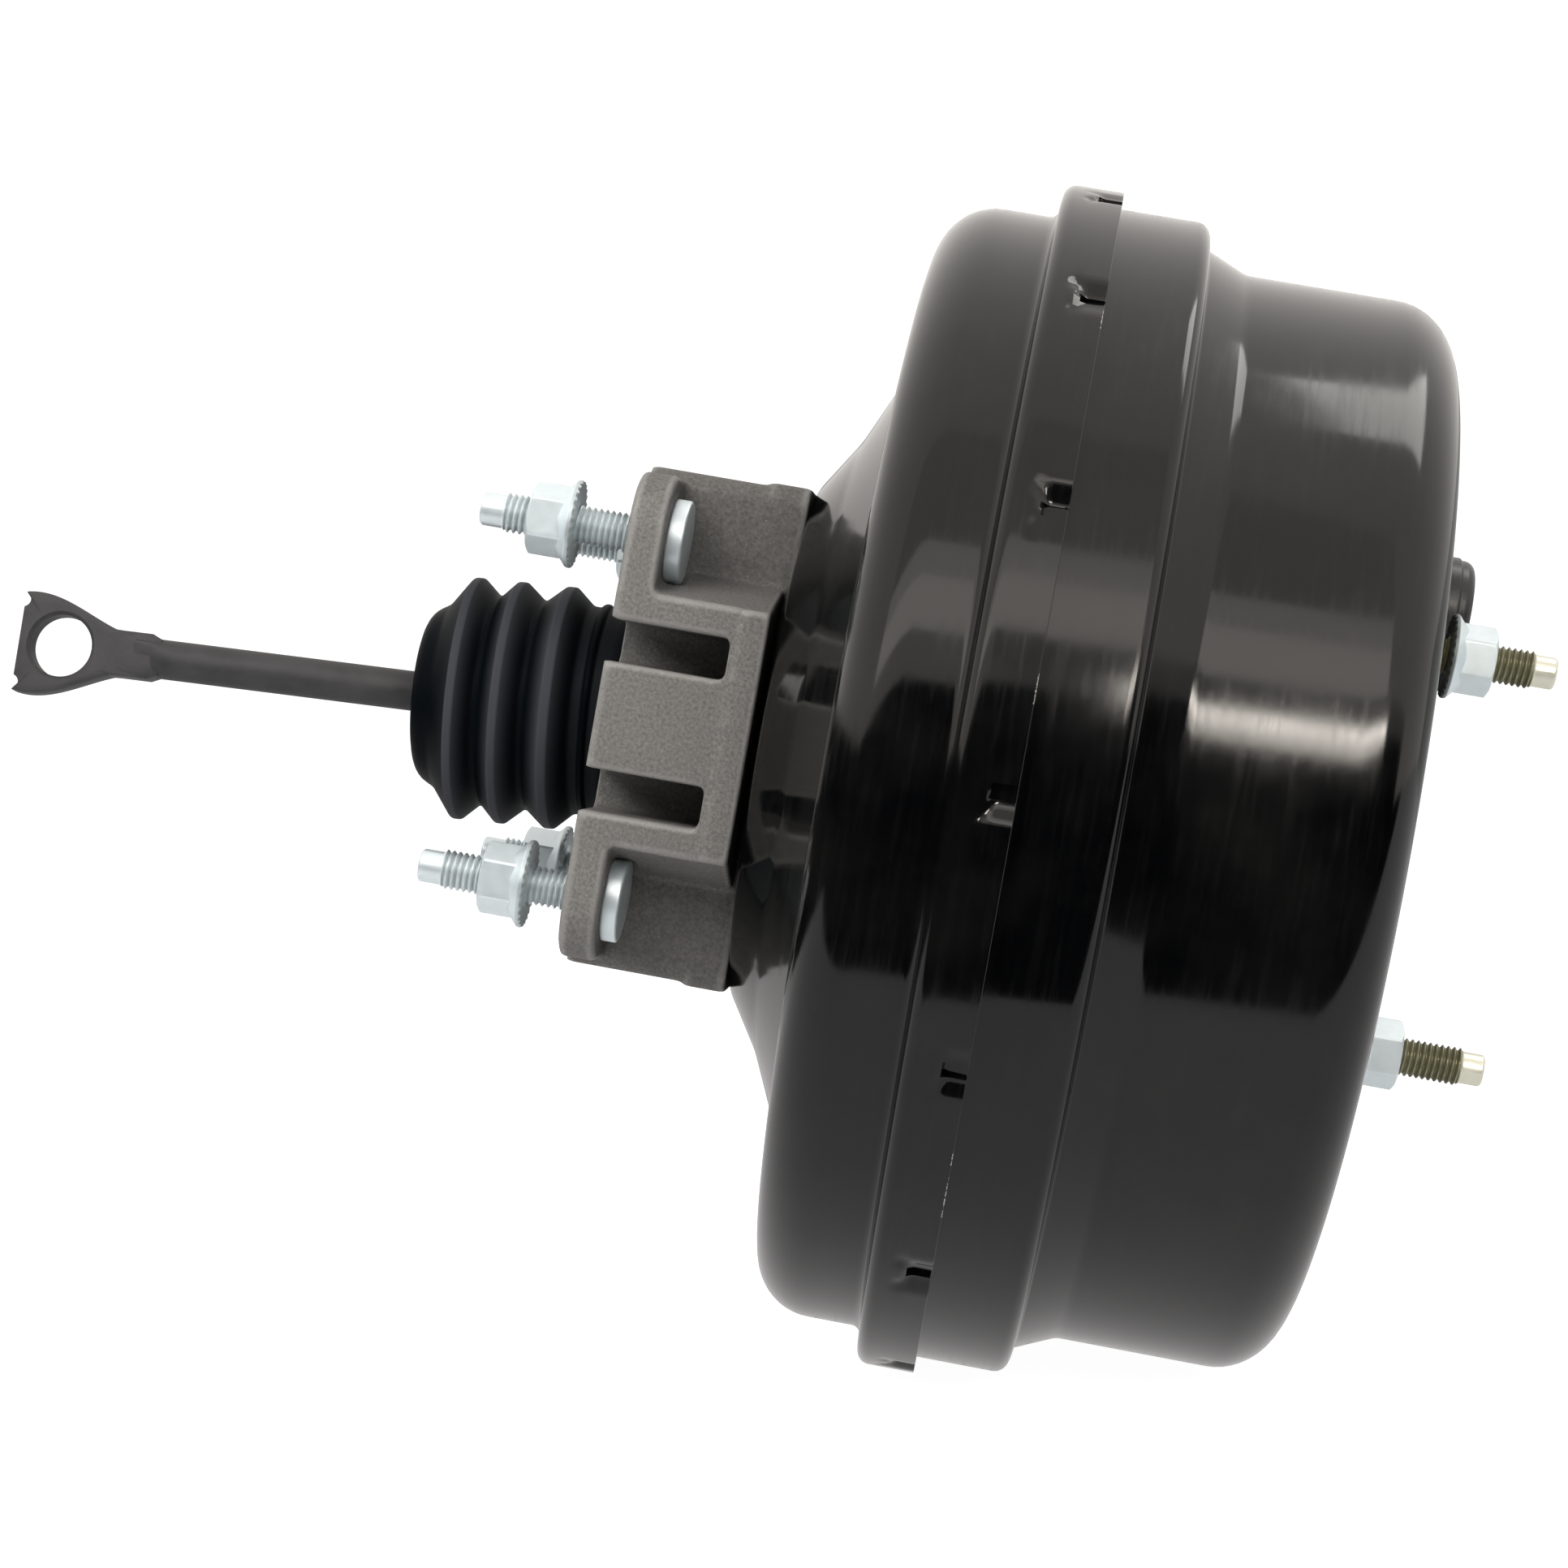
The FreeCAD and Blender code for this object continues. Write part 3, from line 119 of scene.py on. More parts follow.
class Graph:
    """The node tree of one material."""

    def __init__(self, name: str) -> None:
        """Start an empty material.

        Args:
            name: the material's name.
        """
        self.material = bpy.data.materials.new(name)
        self.material.use_nodes = True
        self.tree = self.material.node_tree
        self.tree.nodes.clear()

    def node(self, kind: str, inputs: dict[Any, Any] | None = None, output: Any = 0,
             **settings: Any) -> Wire:
        """Add a node.

        Args:
            kind: the node's type.
            inputs: values or wires of its sockets, by name or index.
            output: which output to return.
            settings: its properties, set first; "stops" fills a colour ramp.

        Returns:
            The chosen output as a wire.
        """
        made = self.tree.nodes.new(kind)
        for key, value in settings.items():
            if key == "stops":
                self._fill_ramp(made.color_ramp, value)
            else:
                setattr(made, key, value)
        for key, value in (inputs or {}).items():
            if isinstance(value, Wire):
                self.tree.links.new(value.socket, made.inputs[key])
            else:
                made.inputs[key].default_value = value
        return Wire(self, made.outputs[output])

    @staticmethod
    def _fill_ramp(ramp: bpy.types.ColorRamp, stops: list[tuple[float, float]]) -> None:
        """Give a ramp its grey stops."""
        while len(ramp.elements) < len(stops):
            ramp.elements.new(0.5)
        for element, (place, grey) in zip(ramp.elements, stops):
            element.position = place
            element.color = (grey, grey, grey, 1.0)

    def noise(self, scale: float, detail: float = 2.0, rough: float = 0.5,
              stretch: Colour = (1.0, 1.0, 1.0)) -> Wire:
        """Give fractal noise from 0 to 1 on object coordinates, stretched along the axes."""
        spot = self.node("ShaderNodeTexCoord", output="Object")
        place = self.node("ShaderNodeMapping", {"Vector": spot, "Scale": stretch})
        return self.node("ShaderNodeTexNoise",
                         {"Vector": place, "Scale": scale, "Detail": detail, "Roughness": rough})

    def ramp(self, value: Wire, *stops: tuple[float, float]) -> Wire:
        """Bend a value through grey stops."""
        return self.node("ShaderNodeValToRGB", {"Fac": value}, stops=list(stops))

    def mix(self, share: Any, first: Any, second: Any) -> Wire:
        """Mix two colours."""
        pair = {6: self._full(first), 7: self._full(second), 0: share}
        return self.node("ShaderNodeMix", pair, output=2, data_type="RGBA")

    @staticmethod
    def _full(colour: Any) -> Any:
        """Give a colour its alpha."""
        return colour if isinstance(colour, Wire) else (*colour, 1.0)

    def attribute(self, name: str) -> Wire:
        """Read a number that the mesh stores at its points."""
        return self.node("ShaderNodeAttribute", output="Fac", attribute_name=name)

    def bump(self, height: Wire, depth: float, under: Wire | None = None) -> Wire:
        """Turn a height from 0 to 1 into a normal.

        Args:
            height: the height.
            depth: millimetres from 0 to 1.
            under: the normal of a coarser bump.

        Returns:
            The normal.
        """
        inputs: dict[Any, Any] = {"Height": height, "Distance": depth * METRES, "Strength": 1.0}
        if under is not None:
            inputs["Normal"] = under
        return self.node("ShaderNodeBump", inputs)

    def finish(self, **values: Any) -> Material:
        """Close the tree with a Principled shader.

        Args:
            values: its inputs, with spaces written as underscores.

        Returns:
            The material.
        """
        named = {key.replace("_", " "): value for key, value in values.items()}
        named["Base Color"] = self._full(named["Base Color"])
        self.node_output(self.node("ShaderNodeBsdfPrincipled", named))
        return self.material

    def node_output(self, shader: Wire) -> None:
        """Send a shader to the material's output."""
        made = self.tree.nodes.new("ShaderNodeOutputMaterial")
        self.tree.links.new(shader.socket, made.inputs["Surface"])


def scaled(colour: Colour, share: float) -> Colour:
    """Make a colour brighter or darker."""
    return tuple(share * part for part in colour)


@dataclass(frozen=True)
class PaintFinish:
    """Gloss black paint over deep-drawn sheet, with drawing marks, haze and chipped edges."""

    colour: Colour = (0.0007, 0.0008, 0.0010)
    dust: Colour = (0.0036, 0.0034, 0.0032)
    chip: Colour = (0.55, 0.53, 0.50)
    roughness: float = 0.07

    def material(self) -> Material:
        """Build the material.

        Returns:
            Paint whose patterns run round the X axis on object coordinates.
        """
        g = Graph("black paint")
        rings = g.noise(2600.0, 3.0, 0.6, (1.0, 0.012, 0.012))
        bands = g.noise(320.0, 2.0, 0.5, (1.0, 0.05, 0.05))
        strokes = g.ramp(g.noise(900.0, 3.0, 0.6, (1.0, 0.06, 0.06)), (0.48, 0.0), (0.70, 1.0))
        haze = g.ramp(g.noise(26.0, 4.0, 0.62), (0.42, 0.0), (0.64, 1.0))
        peel = g.noise(850.0, 2.0)
        specks = g.noise(2400.0, 2.0, 0.7)
        patch = g.ramp(g.noise(55.0, 2.0), (0.60, 0.0), (0.66, 1.0))
        edge = g.attribute("edge")
        chips = g.ramp(edge * specks * patch, (0.46, 0.0), (0.52, 1.0))
        dusty = g.mix(haze * 0.7 + strokes * 0.3, self.colour, self.dust)
        tone = g.mix(chips, dusty, self.chip)
        rough = haze * 0.06 + self.roughness + strokes * 0.05 + rings * 0.03 + chips * 0.25
        coarse = g.bump(bands * 0.6 + peel * 0.4, 0.0035)
        fine = g.bump(rings, 0.0012, coarse)
        return g.finish(Base_Color=tone, Roughness=rough, Metallic=chips, Normal=fine, IOR=1.5)


@dataclass(frozen=True)
class CastFinish:
    """Shot-blast cast aluminium with rubbed edges, and painted shade in its pockets and on the side the
    shell covers.
    """

    colour: Colour = (0.098, 0.094, 0.088)
    rubbed: Colour = (0.21, 0.203, 0.193)

    def material(self) -> Material:
        """Build the material.

        Returns:
            Sandy grey metal, lighter where its edges are rubbed, and darker by its "tone" mark, which is
            painted shade.
        """
        g = Graph("cast aluminium")
        sand = g.noise(1500.0, 3.0, 0.65)
        lumps = g.noise(320.0, 3.0)
        clouds = g.noise(45.0, 3.0)
        specks = g.ramp(g.noise(1900.0, 1.0), (0.70, 0.0), (0.76, 1.0))
        edge = g.ramp(g.attribute("edge") * (lumps * 0.7 + 0.65), (0.30, 0.0), (0.85, 1.0))
        dull = g.mix(clouds, scaled(self.colour, 1.22), scaled(self.colour, 1.85))
        grain = g.mix(g.ramp(sand, (0.30, 0.0), (0.72, 1.0)), scaled(self.colour, 0.7), dull)
        # Painted shade: the tone mark darkens the grain in the pockets and on the covered side.
        shaded = g.mix(g.attribute("tone"), grain, scaled(self.colour, 0.12))
        worn = g.mix(edge * 0.6 + specks * 0.5, shaded, self.rubbed)
        rough = 0.66 - edge * 0.2 - specks * 0.15
        coarse = g.bump(lumps, 0.16)
        fine = g.bump(sand, 0.12, coarse)
        return g.finish(Base_Color=worn, Roughness=rough, Metallic=0.3, Normal=fine)


@dataclass(frozen=True)
class PlatedFinish:
    """Zinc-plated steel, clear or yellow, with a plain tip and thread roots darkened as painted shade."""

    name: str
    colour: Colour
    dark: Colour
    roughness: float = 0.30
    metallic: float = 0.75

    def material(self) -> Material:
        """Build the material.

        Returns:
            Bright metal that follows the piece's "tone" from plain to dark; on studs the tone is painted
            shade in the thread roots.
        """
        g = Graph(self.name)
        clouds = g.noise(420.0, 3.0)
        grain = g.noise(2600.0, 2.0)
        tone = g.attribute("tone")
        plain = g.mix(clouds, scaled(self.colour, 0.86), self.colour)
        shade = g.mix(tone, plain, self.dark)
        rough = clouds * 0.14 + self.roughness + tone * 0.12
        return g.finish(Base_Color=shade, Roughness=rough, Metallic=self.metallic,
                        Normal=g.bump(grain, 0.012))


@dataclass(frozen=True)
class RubberFinish:
    """Moulded black rubber, paler towards its bloom colour where its edge mark is high, on the crests and
    roots of the folds.
    """

    colour: Colour = (0.0005, 0.0011, 0.0017)
    bloom: Colour = (0.030, 0.031, 0.035)

    def material(self) -> Material:
        """Build the material.

        Returns:
            Matt rubber, paler where the piece's "edge" is high.
        """
        g = Graph("black rubber")
        skin = g.noise(900.0, 3.0)
        dust = g.noise(90.0, 4.0, 0.65)
        edge = g.attribute("edge")
        tone = g.mix(dust * 0.05 + edge * edge * 0.95, self.colour, self.bloom)
        rough = 0.36 + dust * 0.12 + edge * 0.1
        return g.finish(Base_Color=tone, Roughness=rough, Normal=g.bump(skin, 0.02), IOR=1.22,
                        Specular_IOR_Level=0.1)


@dataclass(frozen=True)
class PlainFinish:
    """A mottled finish with a fine grain, for what needs nothing more."""

    name: str
    colour: Colour
    second: Colour
    roughness: float
    metallic: float = 0.0
    grain: float = 1200.0
    depth: float = 0.02
    patches: float = 160.0

    def material(self) -> Material:
        """Build the material.

        Returns:
            Two tones mixed in patches, with a grain bump.
        """
        g = Graph(self.name)
        patches = g.ramp(g.noise(self.patches, 4.0, 0.6), (0.35, 0.0), (0.65, 1.0))
        grain = g.noise(self.grain, 3.0)
        tone = g.mix(patches * 0.7 + grain * 0.3, self.colour, self.second)
        rough = patches * 0.1 + self.roughness
        return g.finish(Base_Color=tone, Roughness=rough, Metallic=self.metallic,
                        Normal=g.bump(grain, self.depth))


class Palette:
    """Every finish of the booster, built once."""

    def __init__(self) -> None:
        """Build the materials by slot."""
        finishes = {
            Slot.PAINT: PaintFinish(),
            Slot.CAST: CastFinish(),
            Slot.ZINC: PlatedFinish("zinc", (0.76, 0.835, 0.86), (0.15, 0.17, 0.165)),
            Slot.YELLOW: PlatedFinish("yellow zinc", (0.80, 0.79, 0.66), (0.21, 0.20, 0.12)),
            Slot.RUBBER: RubberFinish(),
            Slot.PHOSPHATE: PlainFinish("phosphated steel", (0.020, 0.0195, 0.0205), (0.034, 0.033, 0.034),
                                        0.5, metallic=0.25, grain=1500.0, depth=0.03),
            Slot.STEEL: PlainFinish("steel", (0.42, 0.42, 0.41), (0.52, 0.52, 0.51), 0.3, metallic=1.0),
            Slot.MOULDED: PlainFinish("moulded plastic", (0.055, 0.036, 0.024),
                                      (0.075, 0.050, 0.034), 0.42),
            Slot.PLASTIC: PlainFinish("black plastic", (0.010, 0.010, 0.011), (0.016, 0.016, 0.017), 0.28,
                                      grain=700.0, depth=0.012),
            Slot.FELT: PlainFinish("felt", (0.20, 0.19, 0.17), (0.34, 0.32, 0.29), 0.9,
                                   grain=900.0, depth=0.2),
        }
        self.materials = {slot: finish.material() for slot, finish in finishes.items()}

    def __getitem__(self, slot: Slot) -> Material:
        """Give a slot's material."""
        return self.materials[slot]


def rounded(corners: Corners, turn: float = 9.0) -> Points:
    """Trace a line of (x, r, radius) corners.

    Each corner is replaced by the circle that touches both of its sides, as
    points a few degrees apart on it.

    Args:
        corners: the line's corners; the radius may be left out.
        turn: degrees between points on an arc.

    Returns:
        Points (n, 2).
    """
    spots = np.array([corner[:2] for corner in corners], float)
    runs = [spots[:1]]
    for before, at, after, corner in zip(spots, spots[1:], spots[2:], corners[1:]):
        radius = corner[2] if len(corner) > 2 else 0.0
        back, ahead = before - at, after - at
        back, ahead = back / np.linalg.norm(back), ahead / np.linalg.norm(ahead)
        half = math.acos(max(-1.0, min(1.0, float(back @ ahead)))) / 2
        if radius <= 0 or half > 1.56:
            runs.append(at[None])
            continue
        middle = (back + ahead) / np.linalg.norm(back + ahead)
        centre = at + middle * radius / math.sin(half)
        start = at + back * radius / math.tan(half) - centre
        end = at + ahead * radius / math.tan(half) - centre
        sweep = math.pi - 2 * half
        share = np.linspace(0, 1, max(2, math.ceil(math.degrees(sweep) / turn)) + 1)[:, None]
        arc = (np.sin((1 - share) * sweep) * start + np.sin(share * sweep) * end) / math.sin(sweep)
        runs.append(centre + arc)
    runs.append(spots[-1:])
    return np.concatenate(runs)


def walled(corners: Corners, wall: float, turn: float = 9.0) -> Points:
    """Close a pressed sheet's section: its skin, then its other side coming back.

    The other side's corners are the skin's, moved along both neighbours'
    normals, with radii that grow or shrink by the wall.

    Args:
        corners: the skin's corners.
        wall: the wall, to the left of the line if positive.
        turn: degrees between points on an arc.

    Returns:
        A closed loop of points (n, 2).
    """
    spots = np.array([corner[:2] for corner in corners], float)
    radii = np.array([corner[2] if len(corner) > 2 else 0.0 for corner in corners])
    run = np.diff(spots, axis=0)
    normal = np.stack([-run[:, 1], run[:, 0]], 1) / np.linalg.norm(run, axis=1)[:, None]
    first = np.concatenate([normal[:1], normal])
    last = np.concatenate([normal, normal[-1:]])
    scale = wall / (1 + (first * last).sum(1))
    moved = spots + (first + last) * scale[:, None]
    bend = (first[:, 0] * last[:, 1] - first[:, 1] * last[:, 0]) * wall
    changed = np.maximum(radii - np.where(bend > 0, 1, -1) * abs(wall), LEAST_ARC)
    inner = np.where(radii > 0, changed, 0)
    other = [(*spot, radius) for spot, radius in zip(moved.tolist(), inner.tolist())]
    return np.concatenate([rounded(corners, turn), rounded(other, turn)[::-1]])


def spun(section: Points, angles: Points) -> Points:
    """Turn points (n, 2) of x and r round the X axis: y = -r cos, z = r sin of the m angles."""
    return ringed(section[:, :1], section[:, 1:] * np.ones(len(angles)), angles)


def ringed(x: Points, radius: Points, angles: Points, y: float = 0.0, z: float = 0.0) -> Points:
    """Place rings (n, m) round a line along X: y less r cos, z plus r sin of the angle."""
    return np.stack([x + 0 * radius, y - radius * np.cos(angles), z + radius * np.sin(angles)], -1)


def circle(count: int) -> Points:
    """Give angles evenly round a circle."""
    return np.arange(count) * 2 * math.pi / count


def drooped(points: Points, pivot: float, degrees: Any) -> Points:
    """Turn points that lie along -X down about a point on the axis.

    Args:
        points: the points, with x, y, z last.
        pivot: the point's x.
        degrees: how far, one number or one for each point.

    Returns:
        The turned points.
    """
    angle = np.radians(degrees)
    ahead = points[..., 0] - pivot
    x = pivot + ahead * np.cos(angle) - points[..., 2] * np.sin(angle)
    z = ahead * np.sin(angle) + points[..., 2] * np.cos(angle)
    return np.stack([x, points[..., 1], z], -1)


def smooth(low: float, high: float, value: Points) -> Points:
    """Rise from 0 at low to 1 at high along a smooth curve."""
    share = np.clip((value - low) / (high - low), 0, 1)
    return share * share * (3 - 2 * share)


def linked(name: str, data: Any) -> Object:
    """Make an object and link it into the scene."""
    made = bpy.data.objects.new(name, data)
    bpy.context.scene.collection.objects.link(made)
    return made


def unseen(made: Object, *rays: str) -> None:
    """Hide an object from some kinds of ray."""
    for ray in rays:
        setattr(made, "visible_" + ray, False)


class Skin:
    """Grids of points that become one closed mesh."""

    def __init__(self) -> None:
        """Start with no grid."""
        self.points: list[Points] = []
        self.faces: list[Points] = []
        self.marks: dict[str, list[Points]] = {"edge": [], "tone": []}
        self.count = 0

    def add(self, grid: Points, loop: bool = True, edge: Points | None = None,
            tone: Points | None = None) -> "Skin":
        """Add a grid (n, m, 3) that closes round its second direction.

        Args:
            grid: the points.
            loop: whether it closes along its first direction too.
            edge: wear at each point, 0 to 1.
            tone: shade at each point, 0 to 1.

        Returns:
            This skin.
        """
        rows, columns = grid.shape[:2]
        row = np.arange(rows if loop else rows - 1)[:, None]
        column = np.arange(columns)[None, :]
        below, beside = (row + 1) % rows, (column + 1) % columns
        quads = np.stack([row * columns + column, below * columns + column,
                          below * columns + beside, row * columns + beside], -1).reshape(-1, 4)
        flat = grid.reshape(-1, 3)
        a, b, c, d = (flat[quads[:, i]] for i in range(4))
        volume = (a * (np.cross(b, c) + np.cross(c, d))).sum()
        if volume < 0:
            quads = quads[:, ::-1]
        self.points.append(flat)
        self.faces.append(quads + self.count)
        for name, mark in (("edge", edge), ("tone", tone)):
            full = np.zeros((rows, columns)) if mark is None else np.broadcast_to(mark, (rows, columns))
            self.marks[name].append(full.reshape(-1))
        self.count += rows * columns
        return self

    def build(self, name: str, crease: float = 35.0) -> Object:
        """Write the mesh, with poles merged and unused points left out.

        Args:
            name: the piece's name.
            crease: degrees from which an edge stays sharp.

        Returns:
            The object, at the origin.
        """
        points = np.concatenate(self.points) * METRES
        quads = np.concatenate(self.faces)
        _, first, place = np.unique(np.round(points, 7), axis=0, return_index=True, return_inverse=True)
        quads = place.reshape(-1)[quads]
        same = quads == np.roll(quads, -1, axis=1)
        full = quads[~same.any(1)]
        thin = same.sum(1) == 1
        order = (np.argmax(same[thin], axis=1)[:, None] + np.array([1, 2, 3])) % 4
        threes = np.take_along_axis(quads[thin], order, axis=1)
        mesh = bpy.data.meshes.new(name)
        mesh.from_pydata(points[first].tolist(), [], full.tolist() + threes.tolist())
        for mark, values in self.marks.items():
            layer = mesh.attributes.new(mark, "FLOAT", "POINT")
            layer.data.foreach_set("value", np.concatenate(values)[first].astype(np.float32))
        mesh.shade_smooth()
        mesh.set_sharp_from_angle(angle=math.radians(crease))
        return linked(name, mesh)


@dataclass
class Assembly:
    """What the sub-assemblies share: the finishes, and the way a piece is made and tied."""

    palette: Palette

    def add(self, piece: Object, slot: Slot, *stands_for: str, body: Body = Body.HOUSING) -> Object:
        """Dress a piece in its slot's finish, tie it to its body, hide the CAD nodes that it stands for,
        and report it.

        Args:
            piece: the piece.
            slot: the material slot of its finish.
            stands_for: the CAD nodes that it replaces.
            body: the body that it rides on.

        Returns:
            The piece.
        """
        piece.data.materials.clear()
        piece.data.materials.append(self.palette[slot])
        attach(piece, body.value)
        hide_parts(*stands_for)
        LOG.info("piece %s on %s, %d faces", piece.name, body.value, len(piece.data.polygons))
        return piece


@dataclass
class RearShell(Assembly):
    """Rear shell with its crimp band and the lances that lock it."""

    wall: float = 1.8
    skin_r: float = 116.9
    band_r: float = 124.0
    band_x: float = 72.5
    seam_x: float = 84.5
    lances: int = 15
    slot_half: float = 1.45
    slot_long: float = 4.4
    slot_deep: float = 2.1
    dent_half: float = 6.2
    dent_long: float = 6.2
    dent_deep: float = 1.15

    def section(self) -> Points:
        """Give the wall's closed section.

        Returns:
            The skin's points, with close rows on the band, then the inside.
        """
        rows = [(x, self.band_r) for x in np.arange(self.seam_x - 8.5, self.seam_x - 0.2, 0.42).tolist()]
        skin = [
            (2.0, 21.4), (33.0, 21.4, 3), (33.0, 54.0, 5), (40.5, 65.5, 20), (50.0, 86.0, 7),
            (49.1, 96.0, 6), (49.1, self.skin_r, 12.0), (self.band_x, self.skin_r, 2.2),
            (self.band_x, self.band_r, 2.6), *rows, (self.seam_x - 0.12, self.band_r),
            (self.seam_x, self.band_r - 0.12),
        ]
        return walled(skin, -self.wall, 7.5)

    def angles(self) -> Points:
        """Give the columns: close together over each lance, wide apart between them."""
        near = np.array([0.0, 0.7, 1.3, 1.44, 1.56, 1.9, 2.5, 3.3, 4.2, 5.2, 6.2, 7.4])
        half = math.pi / self.lances
        wide = np.linspace(near[-1] / self.band_r, half, 7)[1:-1]
        side = np.concatenate([near / self.band_r, wide])
        one = np.concatenate([-side[:0:-1], side, [half]])
        pitch = np.arange(self.lances) * 2 * half
        return (pitch[:, None] + one[None, :]).reshape(-1)

    def pressed(self, grid: Points) -> Points:
        """Press the lances into the band.

        With s the distance round the band from a lance's middle and a the
        distance back from the seam, the depth is a flat slot floor where both
        are small, or else a dent that is deepest beside the slot and fades
        with s and a. Each lance leans to one side by its own seeded share.

        Args:
            grid: the shell's points.

        Returns:
            The points with their radius reduced by the depth.
        """
        radius = np.hypot(grid[..., 1], grid[..., 2])
        angle = np.arctan2(grid[..., 2], -grid[..., 1])
        pitch = 2 * math.pi / self.lances
        which = np.round(angle / pitch).astype(int) % self.lances
        s = (angle - np.round(angle / pitch) * pitch) * self.band_r
        lean = np.random.default_rng(7).uniform(-0.75, 0.75, self.lances)
        lean[0], lean[1] = -0.7, 0.75
        a = self.seam_x - grid[..., 0]
        side = 1 + lean[which] * np.sign(s)
        fade = 1 - smooth(self.slot_half, self.dent_half, np.abs(s))
        dent = self.dent_deep * side * fade * (1 - smooth(3.2, self.dent_long, a))
        pucker = 0.35 * np.exp(-((np.abs(s) - 4.0) ** 2) / 3.0 - (a - 5.8) ** 2 / 1.6) * side
        slot = (np.abs(s) < self.slot_half + 0.05) & (a < self.slot_long)
        depth = np.where(slot, self.slot_deep + 0.25 * a / self.slot_long, dent + pucker)
        on_band = smooth(self.skin_r - 2.5, self.skin_r - 1.0, radius) * (a < 9.0)
        scale = 1 - depth * on_band / np.maximum(radius, 1.0)
        return np.stack([grid[..., 0], grid[..., 1] * scale, grid[..., 2] * scale], -1)

    def build(self) -> None:
        """Make the shell."""
        section = self.section()
        grid = self.pressed(spun(section, self.angles()))
        seam = (np.abs(section[:, 0] - self.seam_x) < 0.2) & (section[:, 1] > self.band_r - 0.2)
        shoulder = (np.abs(section[:, 0] - self.band_x - 0.7) < 0.8) & (section[:, 1] > self.band_r - 1.2)
        edge = np.where(seam, 1.0, np.where(shoulder, 0.62, 0.0))[:, None]
        self.add(Skin().add(grid, edge=edge).build("pressed_rear_shell", 40.0), Slot.PAINT, "rear_shell")


@dataclass
class FrontShell(Assembly):
    """Front shell, two steps down to the master cylinder face."""

    wall: float = 2.0
    rim_x: float = 78.4
    big_r: float = 120.7
    big_x: float = 103.0
    step_r: float = 115.6
    small_x: float = 111.8
    small_r: float = 111.7
    face_x: float = 155.2
    corner: float = 12.5
    pad_r: float = 51.0
    pad_rise: float = 2.0
    pilot_r: float = 21.5
    pilot_deep: float = 10.5

    def build(self) -> None:
        """Make the shell."""
        pad_x = self.face_x + self.pad_rise
        skin = [
            (self.rim_x, self.big_r), (self.big_x, self.big_r, 2.8), (self.big_x, self.step_r, 1.2),
            (self.small_x, self.small_r, 5), (self.face_x, self.small_r, self.corner),
            (self.face_x, self.pad_r + self.pad_rise, 2.5), (pad_x, self.pad_r, 2.5),
            (pad_x, self.pilot_r, 2.5), (pad_x - self.pilot_deep, self.pilot_r),
        ]
        grid = spun(walled(skin, -self.wall, 7.5), circle(300))
        self.add(Skin().add(grid).build("pressed_front_shell", 40.0), Slot.PAINT, "front_shell")


@dataclass
class Bracket(Assembly):
    """Cast spacer between the shell and the firewall."""

    voxel: float = 0.75
    settle: int = 2
    front: float = 50.0
    covered: float = 31.0
    wear_gain: float = 9.0
    pocket_shade: float = 0.3

    def build(self) -> None:
        """Round the CAD casting's edges and mark them as rubbed.

        The casting's copy is merged and remeshed on a fine grid, which rounds
        its edges as a mould does.
        """
        made = linked("cast_bracket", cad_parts["mounting_bracket"].data.copy())
        for kind, values in (("WELD", {"merge_threshold": 1e-6}),
                             ("REMESH", {"mode": "VOXEL", "voxel_size": self.voxel * METRES}),
                             ("SMOOTH", {"iterations": self.settle, "factor": 0.5})):
            modifier = made.modifiers.new(kind.lower(), kind)
            for key, value in values.items():
                setattr(modifier, key, value)
        ready = bpy.data.meshes.new_from_object(made.evaluated_get(bpy.context.evaluated_depsgraph_get()))
        made.modifiers.clear()
        made.data = ready
        self.mark_edges(ready)
        ready.shade_smooth()
        self.add(made, Slot.CAST, "mounting_bracket")

    def mark_edges(self, mesh: Mesh) -> None:
        """Store each point's wear, and its tone, which is painted shade.

        The wear is how far a point stands out from the mean of its neighbours,
        along its normal. The tone is painted shade: it rises from the open faces into the
        pockets, and on the side that the shell covers and shades.

        Args:
            mesh: the mesh that gets the "edge" and "tone" attributes.
        """
        count = len(mesh.vertices)
        spots, normals = np.empty((2, count, 3), np.float32)
        mesh.vertices.foreach_get("co", spots.ravel())
        mesh.vertices.foreach_get("normal", normals.ravel())
        ends = np.empty((len(mesh.edges), 2), np.int32)
        mesh.edges.foreach_get("vertices", ends.ravel())
        one, two = ends.T
        joined = np.bincount(one, minlength=count) + np.bincount(two, minlength=count)

        def spread(values: Points) -> Points:
            """Average each point's neighbours."""
            total = np.zeros_like(values)
            np.add.at(total, one, values[two])
            np.add.at(total, two, values[one])
            return total / np.maximum(joined, 1).reshape(-1, *[1] * (values.ndim - 1))

        proud = ((spots - spread(spots)) * normals).sum(1) / METRES
        wear = np.clip(proud * self.wear_gain, 0, 1)
        for _ in range(2):
            wear = (wear + spread(wear)) / 2
        depth = self.front - np.abs(spots[:, 1]) / METRES
        pocket = smooth(9.0, 20.0, depth) * np.abs(normals[:, 1])
        covered = smooth(self.covered - 6.0, self.covered, spots[:, 0] / METRES)
        # Painted shade: the tone darkens the deep pockets and the +X side that the shell covers.
        tone = np.maximum(pocket * self.pocket_shade, covered * smooth(0.5, 0.9, normals[:, 0]))
        for name, values in (("edge", np.clip(wear * 1.5, 0, 1)), ("tone", tone)):
            layer = mesh.attributes.new(name, "FLOAT", "POINT")
            layer.data.foreach_set("value", values.astype(np.float32))


